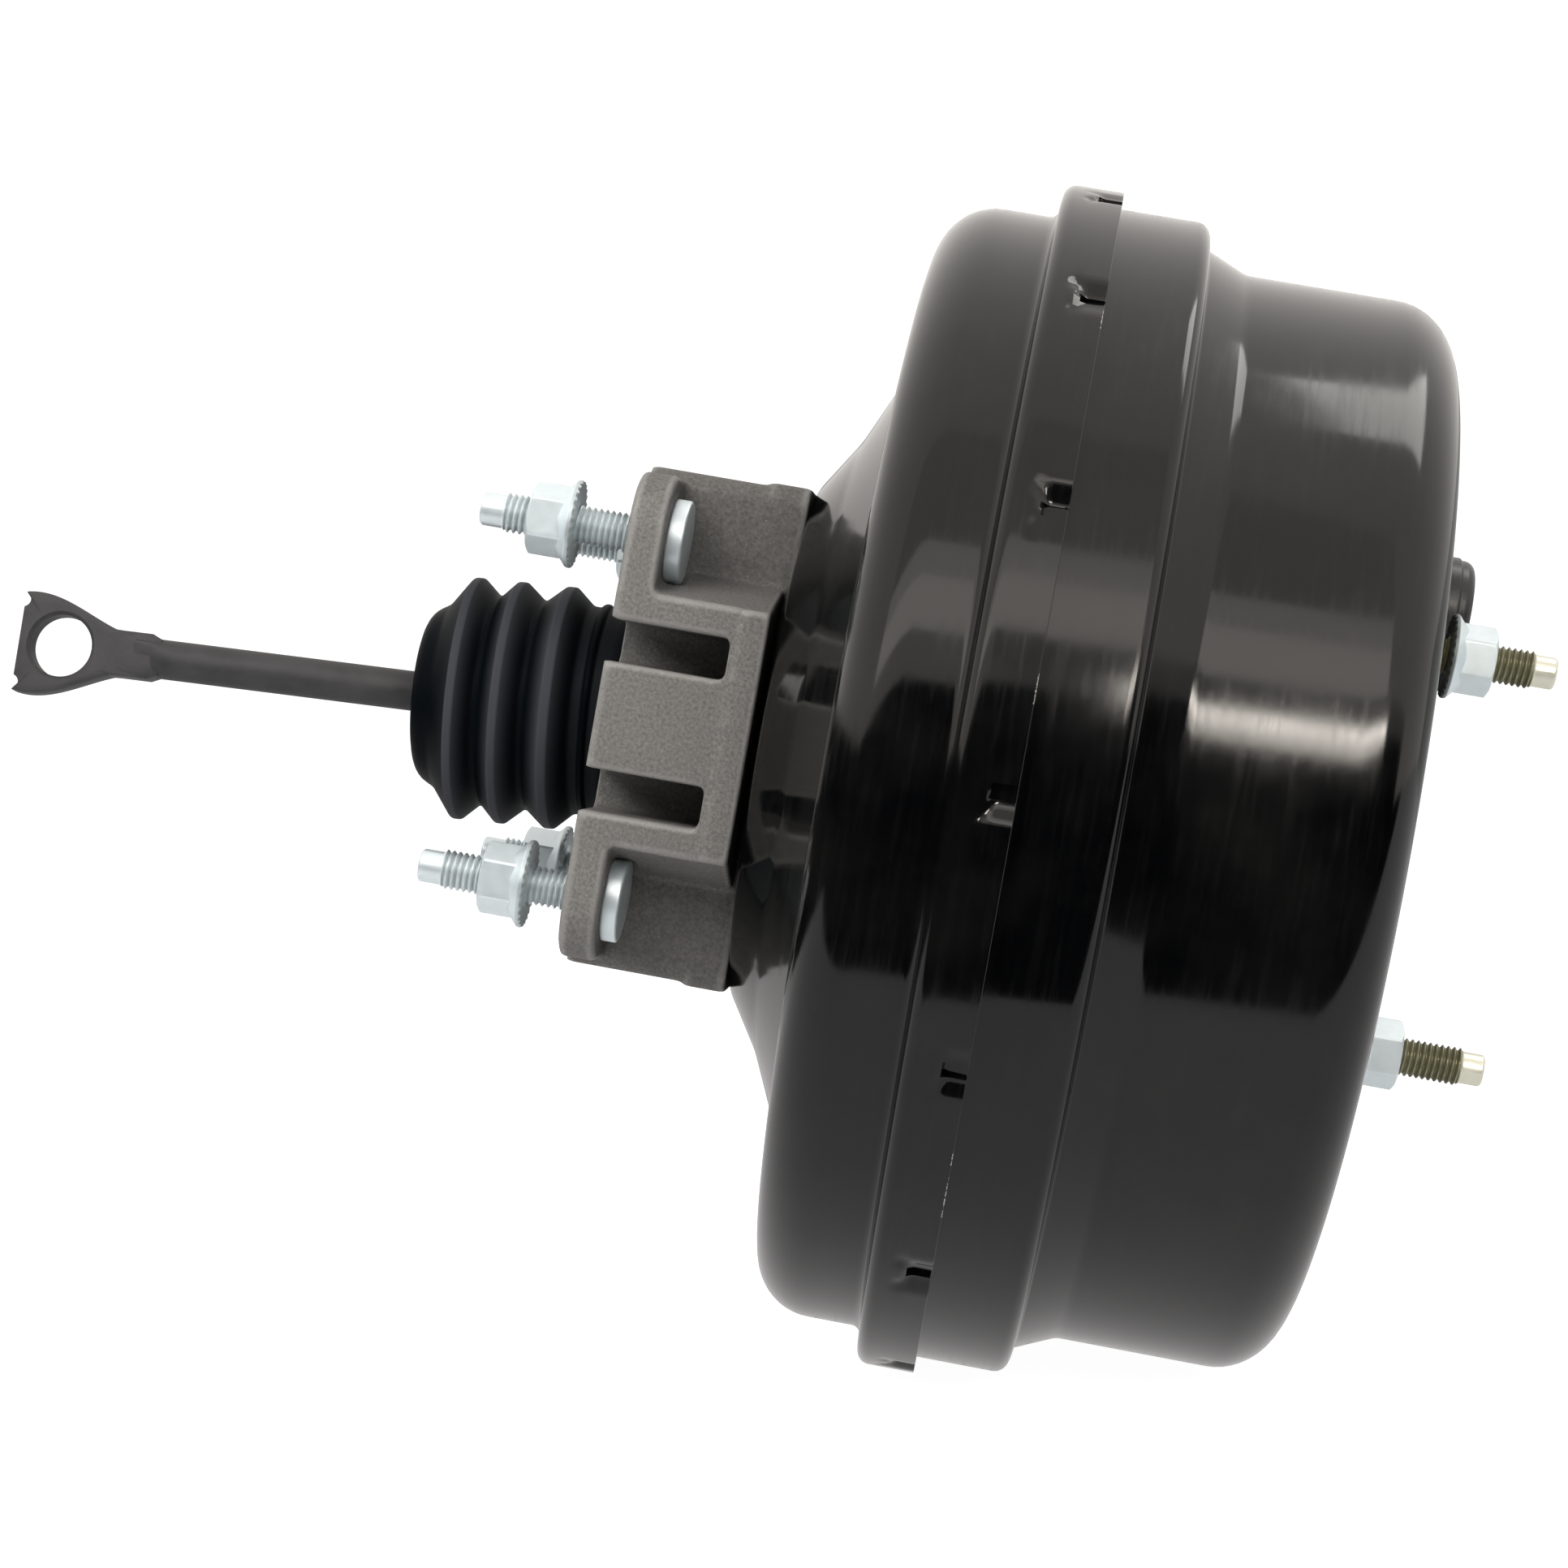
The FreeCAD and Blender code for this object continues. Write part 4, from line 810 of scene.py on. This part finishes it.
@dataclass
class DustBoot(Assembly):
    """Rubber boot: cuff, three folds and a domed end, hanging a little."""

    wall: float = 1.4
    droop: float = 4.2
    pivot: float = 0.5
    peak: float = 25.8
    valley: float = 22.0
    length: float = 43.8
    first: float = 14.2
    near_pitch: float = 10.6
    far_pitch: float = 9.2

    def section(self) -> Points:
        """Give the wall's closed section, from the cuff over the folds to the rod."""
        x, top, low = self.pivot, self.peak, self.valley
        one, two = self.first, self.first + self.near_pitch
        three = two + self.far_pitch
        skin = [
            (13.0, 22.85), (0.0, 22.85, 1), (x - 3.4, low + 0.1, 1), (x - 5.4, low + 0.1, 0.5),
            (x - 6.4, low + 1.2, 0.8), (x - 7.6, low + 0.1, 0.8), (x - 9.4, low + 0.2, 2),
            (x - one + 0.9, top, 0.8), (x - one - 0.9, top, 0.8), (x - one - 5.4, low, 1.3),
            (x - two + 0.8, top, 0.8), (x - two - 0.7, top, 0.8), (x - two - 4.4, low, 1.3),
            (x - three + 0.7, top, 0.8), (x - three - 0.8, top, 0.8), (x - three - 5.2, low - 2.2, 4),
            (x - self.length, 17.2, 5), (x - self.length, 8.0, 1), (x - self.length - 1.2, 6.6, 1),
            (x - self.length - 1.2, 4.7, 0.4), (x - self.length + 1.6, 4.7),
        ]
        return walled(skin, self.wall, 12.0)

    def build(self) -> None:
        """Make the boot."""
        section = self.section()
        half = len(section) // 2
        radius = section[:, 1]
        crest = smooth(self.peak - 0.5, self.peak - 0.1, radius)
        root = 0.45 * (1 - smooth(0.0, 0.7, np.abs(radius - self.valley)))
        edge = np.where(np.arange(len(section)) < half + 40, np.maximum(crest, root), 0.0)
        grid = spun(section, circle(160))
        hang = self.droop * smooth(0.5, -7.5, grid[..., 0])
        skin = Skin().add(drooped(grid, self.pivot, hang), edge=edge[:, None])
        piece = self.add(skin.build("folded_boot", 50.0), Slot.RUBBER, "dust_boot")
        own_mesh(piece)


@dataclass
class PushRod(Assembly):
    """Forged rod with a ball at one end and a flattened pedal eye at the other."""

    ball_x: float = 14.0
    ball_r: float = 6.0
    rod_r: float = 4.25
    neck_r: float = 3.3
    droop: float = 2.9
    eye: float = 136.3
    hole_r: float = 6.7
    chamfer: float = 0.7
    thick: float = 5.5
    roll: float = 8.0
    rim: float = 0.5
    lap: float = 16.0
    flat_end: float = 19.6
    round_from: float = 26.0

    def outline(self) -> Points:
        """Trace half of the eye's outline, from its flat end to the rod.

        A straight end, a scooped corner, a curve that is the fourth-degree
        polynomial through five measured points, and a straight neck.

        Returns:
            Points (n, 2) of x and z round the hole's centre.
        """
        flat = np.stack([np.full(8, -9.2), np.linspace(0, 7.48, 8)], 1)
        scoop = np.radians(np.linspace(-72, 70, 9))
        corner = np.stack([-9.7 + 1.7 * np.cos(scoop), 9.1 + 1.7 * np.sin(scoop)], 1)
        knots = np.array([[-9.1, 10.7], [-3, 10.6], [3, 8.6], [7.5, 6.6], [11.6, 4.95]])
        along = np.linspace(-8.9, 11.6, 26)
        curve = np.stack([along, np.polyval(np.polyfit(knots[:, 0], knots[:, 1], 4), along)], 1)
        neck = np.array([[13.5, 4.9], [17.0, 4.9], [19.6, 4.9], [21.8, 3.9], [22.0, 0.0]])
        return np.concatenate([flat, corner, curve, neck])

    def eye_grid(self) -> Points:
        """Give the eye as rings between its hole and its outline."""
        upper = self.outline()
        lower = upper[-2:0:-1] * np.array([1, -1])
        rim = np.concatenate([upper, lower])
        angle = np.unwrap(np.arctan2(rim[:, 1], rim[:, 0]))
        angle = np.minimum.accumulate(angle)
        hole = np.stack([np.cos(angle), np.sin(angle)], 1) * self.hole_r
        reach = np.linalg.norm(rim - hole, axis=1)[:, None]
        inset = rim - (rim - hole) / reach * self.rim
        sink = hole * (self.hole_r + self.chamfer) / self.hole_r
        half, side = self.thick / 2, self.thick / 2 - self.rim
        bore = half - self.chamfer
        soft = rim - (rim - hole) / reach * self.rim * 0.3
        middle = sink * 0.5 + inset * 0.5
        rings = [(hole, -bore), (hole, bore), (sink, half), (middle, half), (inset, half),
                 (soft, half - self.rim * 0.3), (rim, side), (rim, -side), (soft, self.rim * 0.3 - half),
                 (inset, -half), (middle, -half), (sink, -half)]
        flat = np.stack([np.insert(ring, 1, y, axis=1) for ring, y in rings])
        roll = math.radians(-self.roll)
        y = flat[..., 1] * math.cos(roll) - flat[..., 2] * math.sin(roll)
        z = flat[..., 1] * math.sin(roll) + flat[..., 2] * math.cos(roll)
        return np.stack([flat[..., 0] + self.ball_x - self.eye, y, z], -1)

    def shank_grid(self) -> Points:
        """Give the rod, its neck and ball: a turned section, flattened beside the eye."""
        foot = self.ball_x - self.eye
        ball = np.radians(np.linspace(146, 0, 16))
        head = np.stack([self.ball_x + self.ball_r * np.cos(ball), self.ball_r * np.sin(ball)], 1)
        line = rounded([
            (foot + self.lap, 0), (foot + self.lap, self.rod_r), (foot + self.flat_end, self.rod_r),
            (foot + 21.9, self.rod_r), (foot + self.round_from, self.rod_r), (self.ball_x - 13, self.rod_r),
            (self.ball_x - 11, self.neck_r), (self.ball_x - 6, self.neck_r)])
        section = np.concatenate([line, head])
        grid = spun(section, circle(48))
        ahead = grid[..., 0] - foot
        share = np.clip((ahead - self.flat_end) / 2.3, 0, 1)
        flat = self.thick / 2 - 0.05 + (self.rod_r - self.thick / 2 + 0.1) * share
        y = np.where(ahead > self.round_from, grid[..., 1], np.clip(grid[..., 1], -flat, flat))
        return np.stack([grid[..., 0], y, grid[..., 2]], -1)

    def build(self) -> None:
        """Make the rod."""
        skin = Skin()
        skin.add(drooped(self.eye_grid(), self.ball_x, self.droop))
        skin.add(drooped(self.shank_grid(), self.ball_x, self.droop), loop=False)
        self.add(skin.build("forged_push_rod", 38.0), Slot.PHOSPHATE, "push_rod", body=Body.PEDAL_ROD)


@dataclass
class Stud:
    """Headed stud with a rolled thread and a plain pilot tip, built along +X from its head."""

    root: float
    tip: float
    head_r: float
    head_t: float
    major: float = 4.0
    pitch: float = 1.25
    depth: float = 0.68
    crest: float = 0.12
    flanks: float = 0.80
    starts: tuple[float, float] = (0.2, 1.6)
    root_shade: float = 0.55
    pilot_r: float = 3.35
    pilot: float = 4.5
    sides: int = 36
    rows_a_turn: int = 8

    def grid(self, y: float, z: float) -> tuple[Points, Points]:
        """Give the stud's surface.

        The radius is the major radius less the thread's depth times a
        triangle wave of s / pitch - angle / turn, which fades out at both
        ends of the thread.

        Args:
            y: the stud's place.
            z: the stud's place.

        Returns:
            The grid and its tone, which is painted shade in the thread's roots.
        """
        sense = 1.0 if self.tip > self.root else -1.0
        length = abs(self.tip - self.root)
        neck = length - self.pilot
        angles = circle(self.sides)
        rows = np.arange(0.3, neck - 0.5, self.pitch / self.rows_a_turn)[:, None]
        wave = np.abs((rows / self.pitch - sense * angles / (2 * math.pi)) % 1.0 - 0.5) * 2
        wave = np.clip((wave - self.crest) / self.flanks, 0, 1)
        fade = smooth(*self.starts, rows)
        threaded = self.major - self.depth * (1 - wave) * fade
        head = rounded([(-self.head_t, 0), (-self.head_t, self.head_r, 0.7), (0, self.head_r, 0.5),
                        (0, self.major)], 15)
        nose = rounded([(neck - 0.45, self.major - 0.35), (neck, self.pilot_r, 0.3),
                        (length, self.pilot_r, 0.7), (length, 0)], 20)
        s = np.concatenate([head[:, 0], rows[:, 0], nose[:, 0]])
        wide = np.ones(self.sides)
        radius = np.concatenate([head[:, 1:] * wide, threaded, nose[:, 1:] * wide])
        # Painted shade: the tone darkens the thread's roots.
        tone = np.concatenate([0 * head[:, 1:] * wide, (1 - wave) * self.root_shade * fade,
                               0 * nose[:, 1:] * wide])
        return ringed(self.root + sense * s[:, None], radius, angles, y, z), tone


@dataclass
class FlangeNut:
    """Hexagonal flange nut with a serrated seat."""

    flats: float = 13.0
    height: float = 9.6
    flange_r: float = 8.9
    flange_t: float = 1.3
    bore: float = 3.75
    teeth: int = 28
    sides: int = 180
    crown_rise: float = 1.9
    skirt_fall: float = 1.15
    skirt_top: float = 4.2

    def grid(self, seat_x: float, y: float, z: float, sense: float) -> tuple[Points, Points]:
        """Give the nut's surface.

        Above the flange the radius is the lesser of a hexagon's and a crown
        cone's, or a skirt cone's where that is greater.

        Args:
            seat_x: station of the flange's seat.
            y: the nut's place.
            z: the nut's place.
            sense: the direction in which the hexagon points along X.

        Returns:
            The grid and its tone, dark on the flange.
        """
        angles = circle(self.sides)
        wave = (angles + math.pi / 6) % (math.pi / 3) - math.pi / 6
        hexagon = np.minimum(self.flats / 2 / np.cos(wave), self.flats / math.sqrt(3) - 0.16)
        s = np.concatenate([np.linspace(self.flange_t, 3.9, 16), np.linspace(4.5, self.height - 0.95, 5),
                            np.linspace(self.height - 0.85, self.height, 12)])[:, None]
        crown = self.flats / 2 - 0.15 + (self.height - s) * self.crown_rise
        lower = self.flats / 2 - 0.6 + np.sqrt(np.maximum(self.height - s, 0)) * 0.9 + 0.15
        skirt = self.flange_r - 0.15 - (s - self.flange_t) * self.skirt_fall + np.maximum(s - 3.0, 0) * 0.4
        side = np.maximum(np.minimum(hexagon, np.minimum(crown, lower + 4 * (self.height - s))), skirt)
        side = np.where(s > self.skirt_top, np.minimum(hexagon, crown), side)
        tooth = np.abs((angles * self.teeth / (2 * math.pi)) % 1.0 - 0.5) * 2
        foot = [(0.35, self.bore), (0.0, self.bore + 0.9), (0.32 * tooth - 0.02, self.flange_r - 1.6),
                (0.42 * tooth, self.flange_r - 0.25), (0.45 + 0.1 * tooth, self.flange_r),
                (0.95, self.flange_r), (self.flange_t, self.flange_r - 0.15)]
        body = [*zip(s[1:], side[1:])]
        top = [(self.height, self.bore + 0.65), (self.height - 0.6, self.bore)]
        along, radius = (np.stack([np.broadcast_to(row[i], self.sides) for row in foot + body + top])
                         for i in range(2))
        tone = np.where((along < 0.99) & (radius > self.bore + 0.3), 1.0, 0.0)
        return ringed(seat_x + sense * along, radius, angles, y, z), tone


@dataclass
class Fasteners(Assembly):
    """Every stud and nut on the outside."""

    firewall: tuple[float, float] = (38.0, 36.4)
    plate: float = 7.5
    firewall_tip: float = -31.0
    master: float = 42.0
    master_root: float = 158.4
    master_tip: float = 190.0
    shell_stud: tuple[float, float] = (17.0, 38.0)
    shell_root: float = 37.35
    shell_tip: float = 2.0
    bare_from: float = 185.3
    stud_crease: float = 30.0
    nut_crease: float = 22.0

    def build(self) -> None:
        """Make the studs and nuts."""
        y, z = self.firewall
        studs, nuts = Skin(), Skin()
        seats = {(-1, 1): -11.3, (-1, -1): -8.4, (1, -1): -12.0, (1, 1): -2.3}
        stud = Stud(self.plate, self.firewall_tip, head_r=8.5, head_t=3.5)
        for (side, up), seat_x in seats.items():
            grid, tone = stud.grid(side * y, up * z)
            studs.add(grid, loop=False, tone=tone)
            grid, tone = FlangeNut().grid(seat_x, side * y, up * z, -1)
            nuts.add(grid, tone=tone * 0.35)
        self.add(studs.build("threaded_firewall_studs", self.stud_crease), Slot.ZINC, "firewall_studs")
        self.add(nuts.build("serrated_firewall_nuts", self.nut_crease), Slot.ZINC, "firewall_nuts")
        self.build_front()
        self.build_shell_studs()

    def build_front(self) -> None:
        """Make the master cylinder studs and nuts."""
        studs, nuts = Skin(), Skin()
        stud = Stud(self.master_root - 2.6, self.master_tip, head_r=5.6, head_t=2.5)
        for up, seat_x in ((1, 167.3), (-1, 162.8)):
            grid, tone = stud.grid(0, up * self.master)
            studs.add(grid, loop=False, tone=np.clip(tone + 0.75 * (grid[..., 0] < self.bare_from), 0, 1))
            grid, tone = FlangeNut().grid(seat_x, 0, up * self.master, 1)
            nuts.add(grid, tone=tone)
        self.add(studs.build("threaded_master_studs", self.stud_crease), Slot.YELLOW,
                 "master_cylinder_studs")
        self.add(nuts.build("serrated_master_nuts", self.nut_crease), Slot.ZINC, "master_cylinder_nuts")

    def build_shell_studs(self) -> None:
        """Make the studs that hold the bracket on the shell."""
        y, z = self.shell_stud
        studs = Skin()
        stud = Stud(self.shell_root, self.shell_tip, head_r=6.0, head_t=2.5, pilot=2.0)
        for side, up in product((-1, 1), repeat=2):
            grid, tone = stud.grid(side * y, up * z)
            studs.add(grid, loop=False, tone=tone)
        self.add(studs.build("threaded_shell_studs", self.stud_crease), Slot.ZINC, "shell_studs")


@dataclass
class VacuumFitting(Assembly):
    """Check valve with a side nipple, in its rubber grommet."""

    y: float = 37.0
    z: float = 52.9
    face: float = 155.2
    housing_r: float = 12.3
    end: float = 174.4
    elbow_x: float = 168.0
    nipple_r: float = 6.0
    nipple_end: float = 72.0

    def build(self) -> None:
        """Make the fitting."""
        foot, out, end = self.face, self.housing_r, self.end
        base = foot + 4.1
        shell = rounded([(base - 8, 0), (base - 8, 5.6), (base, 5.6), (base, out - 0.8, 0.5),
                         (base + 1.0, out, 0.6), (end - 3.4, out, 0.4), (end - 3.1, out - 0.5, 0.3),
                         (end, out - 0.5, 2.4), (end, 0)], 12)
        tip = self.nipple_end - self.y
        pipe = rounded([(0, 0), (0, 7.4), (out + 2.9, 7.4, 0.6), (out + 3.2, self.nipple_r, 0.6),
                        (tip - 1, self.nipple_r, 0.4), (tip, self.nipple_r - 0.8, 0.3), (tip, 4.0, 0.4),
                        (tip - 20, 4.0), (tip - 20, 0)], 12)
        turned = spun(pipe, circle(64))
        nipple = np.stack([self.elbow_x + turned[..., 1], self.y + turned[..., 0],
                           self.z + turned[..., 2]], -1)
        aside = np.array([0, self.y, self.z])
        skin = Skin().add(spun(shell, circle(96)) + aside, loop=False).add(nipple, loop=False)
        self.add(skin.build("moulded_check_valve", 40.0), Slot.PLASTIC, "check_valve_body")
        rubber = rounded([(foot - 4.4, 6.1), (foot - 4.4, 8.6, 0.6), (foot - 2.1, 9.8, 0.4),
                          (foot - 2.1, 7.95), (foot + 0.1, 7.95), (foot + 0.1, 11.4, 0.8),
                          (foot + 4.0, 11.4, 1.2), (foot + 4.0, 6.1)], 15)
        ring = Skin().add(spun(rubber, circle(72)) + aside).build("moulded_grommet")
        self.add(ring, Slot.RUBBER, "vacuum_grommet")


@dataclass
class InnerParts(Assembly):
    """CAD nodes that keep their shape and get their finish."""

    def build(self) -> None:
        """Dress every CAD node that still shows."""
        finishes = {
            Slot.STEEL: ("centre_divider", "primary_plate", "secondary_plate", "secondary_retainer",
                         "rear_reinforcement_ring", "front_reinforcement_ring", "output_rod",
                         "output_rod_retainer", "valve_key", "poppet_spring", "poppet_retainer",
                         "rod_return_spring", "return_spring", "rod_spring_collar", "check_valve_spring",
                         "valve_plunger"),
            Slot.RUBBER: ("divider_seal", "primary_diaphragm", "secondary_diaphragm", "rear_seal",
                          "reaction_disc", "poppet_valve", "check_valve_disc"),
            Slot.MOULDED: ("valve_body", "rear_bearing", "rod_ball_seat"),
            Slot.FELT: ("silencer", "air_filter"),
            Slot.ZINC: ("shell_nuts",),
        }
        for slot, names in finishes.items():
            for name in names:
                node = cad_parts[name]
                for place in node.material_slots:
                    place.material = self.palette[slot]
                LOG.info("dressed %s as %s", name, slot.value)


@dataclass
class Studio:
    """Floor, lights, dark cards and camera."""

    lens: float = 74.53
    sensor: float = 36.0
    camera_at: tuple[float, float, float] = (83.07, -684.89, 11.0)
    right: tuple[float, float, float] = (0.98208, 0.07275, 0.17387)
    ahead: tuple[float, float, float] = (-0.06881, 0.99722, -0.02859)
    up: tuple[float, float, float] = (-0.17547, 0.01612, 0.98435)
    rests_x: float = 84.5
    rests_z: float = -124.0
    lean: float = 10.11
    card_y: float = -900.0
    floor_half: float = 2500.0
    floor_glow: float = 0.96
    room_light: float = 0.38
    black: Colour = (0.0, 0.0, 0.0)

    def build(self) -> None:
        """Make the whole studio."""
        self.camera()
        self.floor()
        self.lights()
        LOG.info("studio ready")

    def camera(self) -> None:
        """Put the camera at the fitted place, with columns right, up and back."""
        data = bpy.data.cameras.new("camera")
        data.lens = self.lens
        data.sensor_width = self.sensor
        data.clip_start, data.clip_end = 0.01, 50
        made = linked("camera", data)
        back = -np.array(self.ahead)
        turn = Matrix(np.column_stack([self.right, self.up, back]).tolist()).to_4x4()
        made.matrix_world = Matrix.Translation(Vector(self.camera_at) * METRES) @ turn
        bpy.context.scene.camera = made

    def level(self, x: float, y: float, z: float) -> Vector:
        """Give a place in the frame from one over the floor, with z measured up from it."""
        angle = math.radians(self.lean)
        along = Vector((math.cos(angle), 0, math.sin(angle)))
        upright = Vector((-math.sin(angle), 0, math.cos(angle)))
        start = Vector((self.rests_x, 0, self.rests_z))
        return (start + along * x + Vector((0, y, 0)) + upright * z) * METRES

    def sheet(self, name: str, corners: list[Vector], material: Material) -> Object:
        """Make a flat stage piece.

        Args:
            name: its name.
            corners: its corners in order.
            material: its material.

        Returns:
            The object.
        """
        mesh = bpy.data.meshes.new(name)
        mesh.from_pydata([tuple(corner) for corner in corners], [], [(0, 1, 2, 3)])
        mesh.materials.append(material)
        made = linked(name, mesh)
        return made

    def floor(self) -> None:
        """Lay a pale floor that glows a little and is clear from below."""
        g = Graph("pale floor")
        tone = g.mix(g.noise(3.0, 2.0), (0.46, 0.46, 0.46), (0.50, 0.50, 0.50))
        matt = g.node("ShaderNodeBsdfPrincipled", {
            "Base Color": tone, "Roughness": 0.9, "Specular IOR Level": 0.0,
            "Emission Color": (1, 1, 1, 1), "Emission Strength": self.floor_glow})
        clear = g.node("ShaderNodeBsdfTransparent")
        under = g.node("ShaderNodeNewGeometry", output="Backfacing")
        g.node_output(g.node("ShaderNodeMixShader", {0: under, 1: matt, 2: clear}))
        corners = [self.level(x * self.floor_half, y * self.floor_half, -0.3)
                   for x, y in ((-1, -1), (1, -1), (1, 1), (-1, 1))]
        unseen(self.sheet("floor", corners, g.material), "glossy")

    def glow(self, name: str, colour: Colour) -> Material:
        """Give a plain glowing material."""
        g = Graph(name.replace("_", " "))
        g.node_output(g.node("ShaderNodeEmission", {"Color": (*colour, 1), "Strength": 1.0}))
        return g.material

    def dome(self, name: str, far: float, colour: Colour, seen: bool) -> None:
        """Set a glowing dome round everything.

        Args:
            name: its name.
            far: its radius.
            colour: its brightness, by channel.
            seen: whether the camera sees it, or else only the gloss.
        """
        rise = np.linspace(-math.pi / 2, math.pi / 2, 25)
        section = far * np.stack([np.sin(rise), np.cos(rise)], 1)
        made = Skin().add(spun(section, circle(48)), loop=False).build(name)
        made.data.materials.append(self.glow(name, colour))
        unseen(made, "diffuse", "shadow", "transmission", "glossy" if seen else "camera")

    def card(self, name: str, wide: tuple[float, float], high: tuple[float, float], colour: Colour,
             turn: float = 0.0, flat: bool = False) -> None:
        """Hang a card that only reflections see, at card_y from the booster.

        Args:
            name: its name.
            wide: its ends along the floor.
            high: its ends up from the floor, or towards the booster if flat.
            colour: its brightness, by channel.
            turn: how far round the booster it hangs, in degrees to the right.
            flat: whether it lies on the floor.
        """
        spots = [(wide[0], high[0]), (wide[1], high[0]), (wide[1], high[1]), (wide[0], high[1])]
        c, n = math.cos(math.radians(turn)), math.sin(math.radians(turn))
        corners = [self.level(x, z, 1.0) if flat else
                   self.level(x * c - self.card_y * n, x * n + self.card_y * c, z) for x, z in spots]
        made = self.sheet(name, corners, self.glow(name, colour))
        unseen(made, "camera", "diffuse", "shadow", "transmission")

    def lights(self) -> None:
        """Set the room's light, the soft boxes and what the gloss mirrors."""
        world = bpy.data.worlds.new("room")
        world.use_nodes = True
        background = world.node_tree.nodes["Background"].inputs
        background["Color"].default_value = (1.0, 1.0, 1.0, 1)
        background["Strength"].default_value = self.room_light
        bpy.context.scene.world = world
        bpy.context.scene.view_settings.view_transform = "Standard"
        self.dome("white_dome", 4000.0, (1.15, 1.15, 1.15), True)
        self.dome("room_dome", 3900.0, (1.0, 0.96, 0.92), False)
        self.card("dark_card", (-2600, 2600), (-1, 395), self.black)
        self.card("dark_card_right", (60, 2600), (395, 560), (0.5, 0.48, 0.46))
        self.card("dark_table", (-2600, 2600), (-900, -222), self.black, flat=True)
        self.card("pale_table", (-2600, 2600), (-221, 900), (0.66, 0.645, 0.64), flat=True)
        self.card("back_wall", (-2000, 2000), (-1, 330), (0.42, 0.42, 0.41), turn=180.0)
        self.card("left_wall", (-2000, 2000), (-1, 330), self.black, turn=-90.0)
        self.card("right_box", (-150, 600), (1250, 2900), (4.5, 4.4, 4.2), turn=97.0)
        self.card("low_box", (-900, 700), (560, 780), (2.5, 2.35, 2.2))
        self.card("low_box_top", (-900, 700), (780, 960), (1.8, 1.7, 1.6))
        self.card("dim_wall", (-900, 700), (960, 2350), (0.85, 0.8, 0.76))
        self.card("bright_box", (175, 800), (345, 452), (30.0, 28.0, 25.5))
        self.soft_box("key_box", (-500, -700, 800), (700, 500), 17.0, (1.0, 0.99, 0.97))
        self.soft_box("fill_box", (500, -900, 500), (700, 500), 5.0, (0.97, 0.985, 1.0))

    def soft_box(self, name: str, place: tuple[float, float, float], size: tuple[float, float],
                 power: float, colour: Colour) -> None:
        """Hang an area light that faces the booster.

        Args:
            name: its name.
            place: where, over the floor.
            size: its width and height.
            power: its watts.
            colour: its colour.
        """
        data = bpy.data.lights.new(name, "AREA")
        data.shape = "RECTANGLE"
        data.size, data.size_y = size[0] * METRES, size[1] * METRES
        data.energy = power
        data.color = colour
        made = linked(name, data)
        made.location = self.level(*place)
        aim = self.level(0, 0, 124) - made.location
        made.rotation_mode = "QUATERNION"
        made.rotation_quaternion = aim.to_track_quat("-Z", "Y")
        unseen(made, "camera", "glossy")


def main() -> None:
    """Build every sub-assembly."""
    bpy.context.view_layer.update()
    palette = Palette()
    Studio().build()
    for assembly in (RearShell, FrontShell, Bracket, DustBoot, PushRod, Fasteners, VacuumFitting,
                     InnerParts):
        assembly(palette).build()


if __name__ == "__main__":
    main()
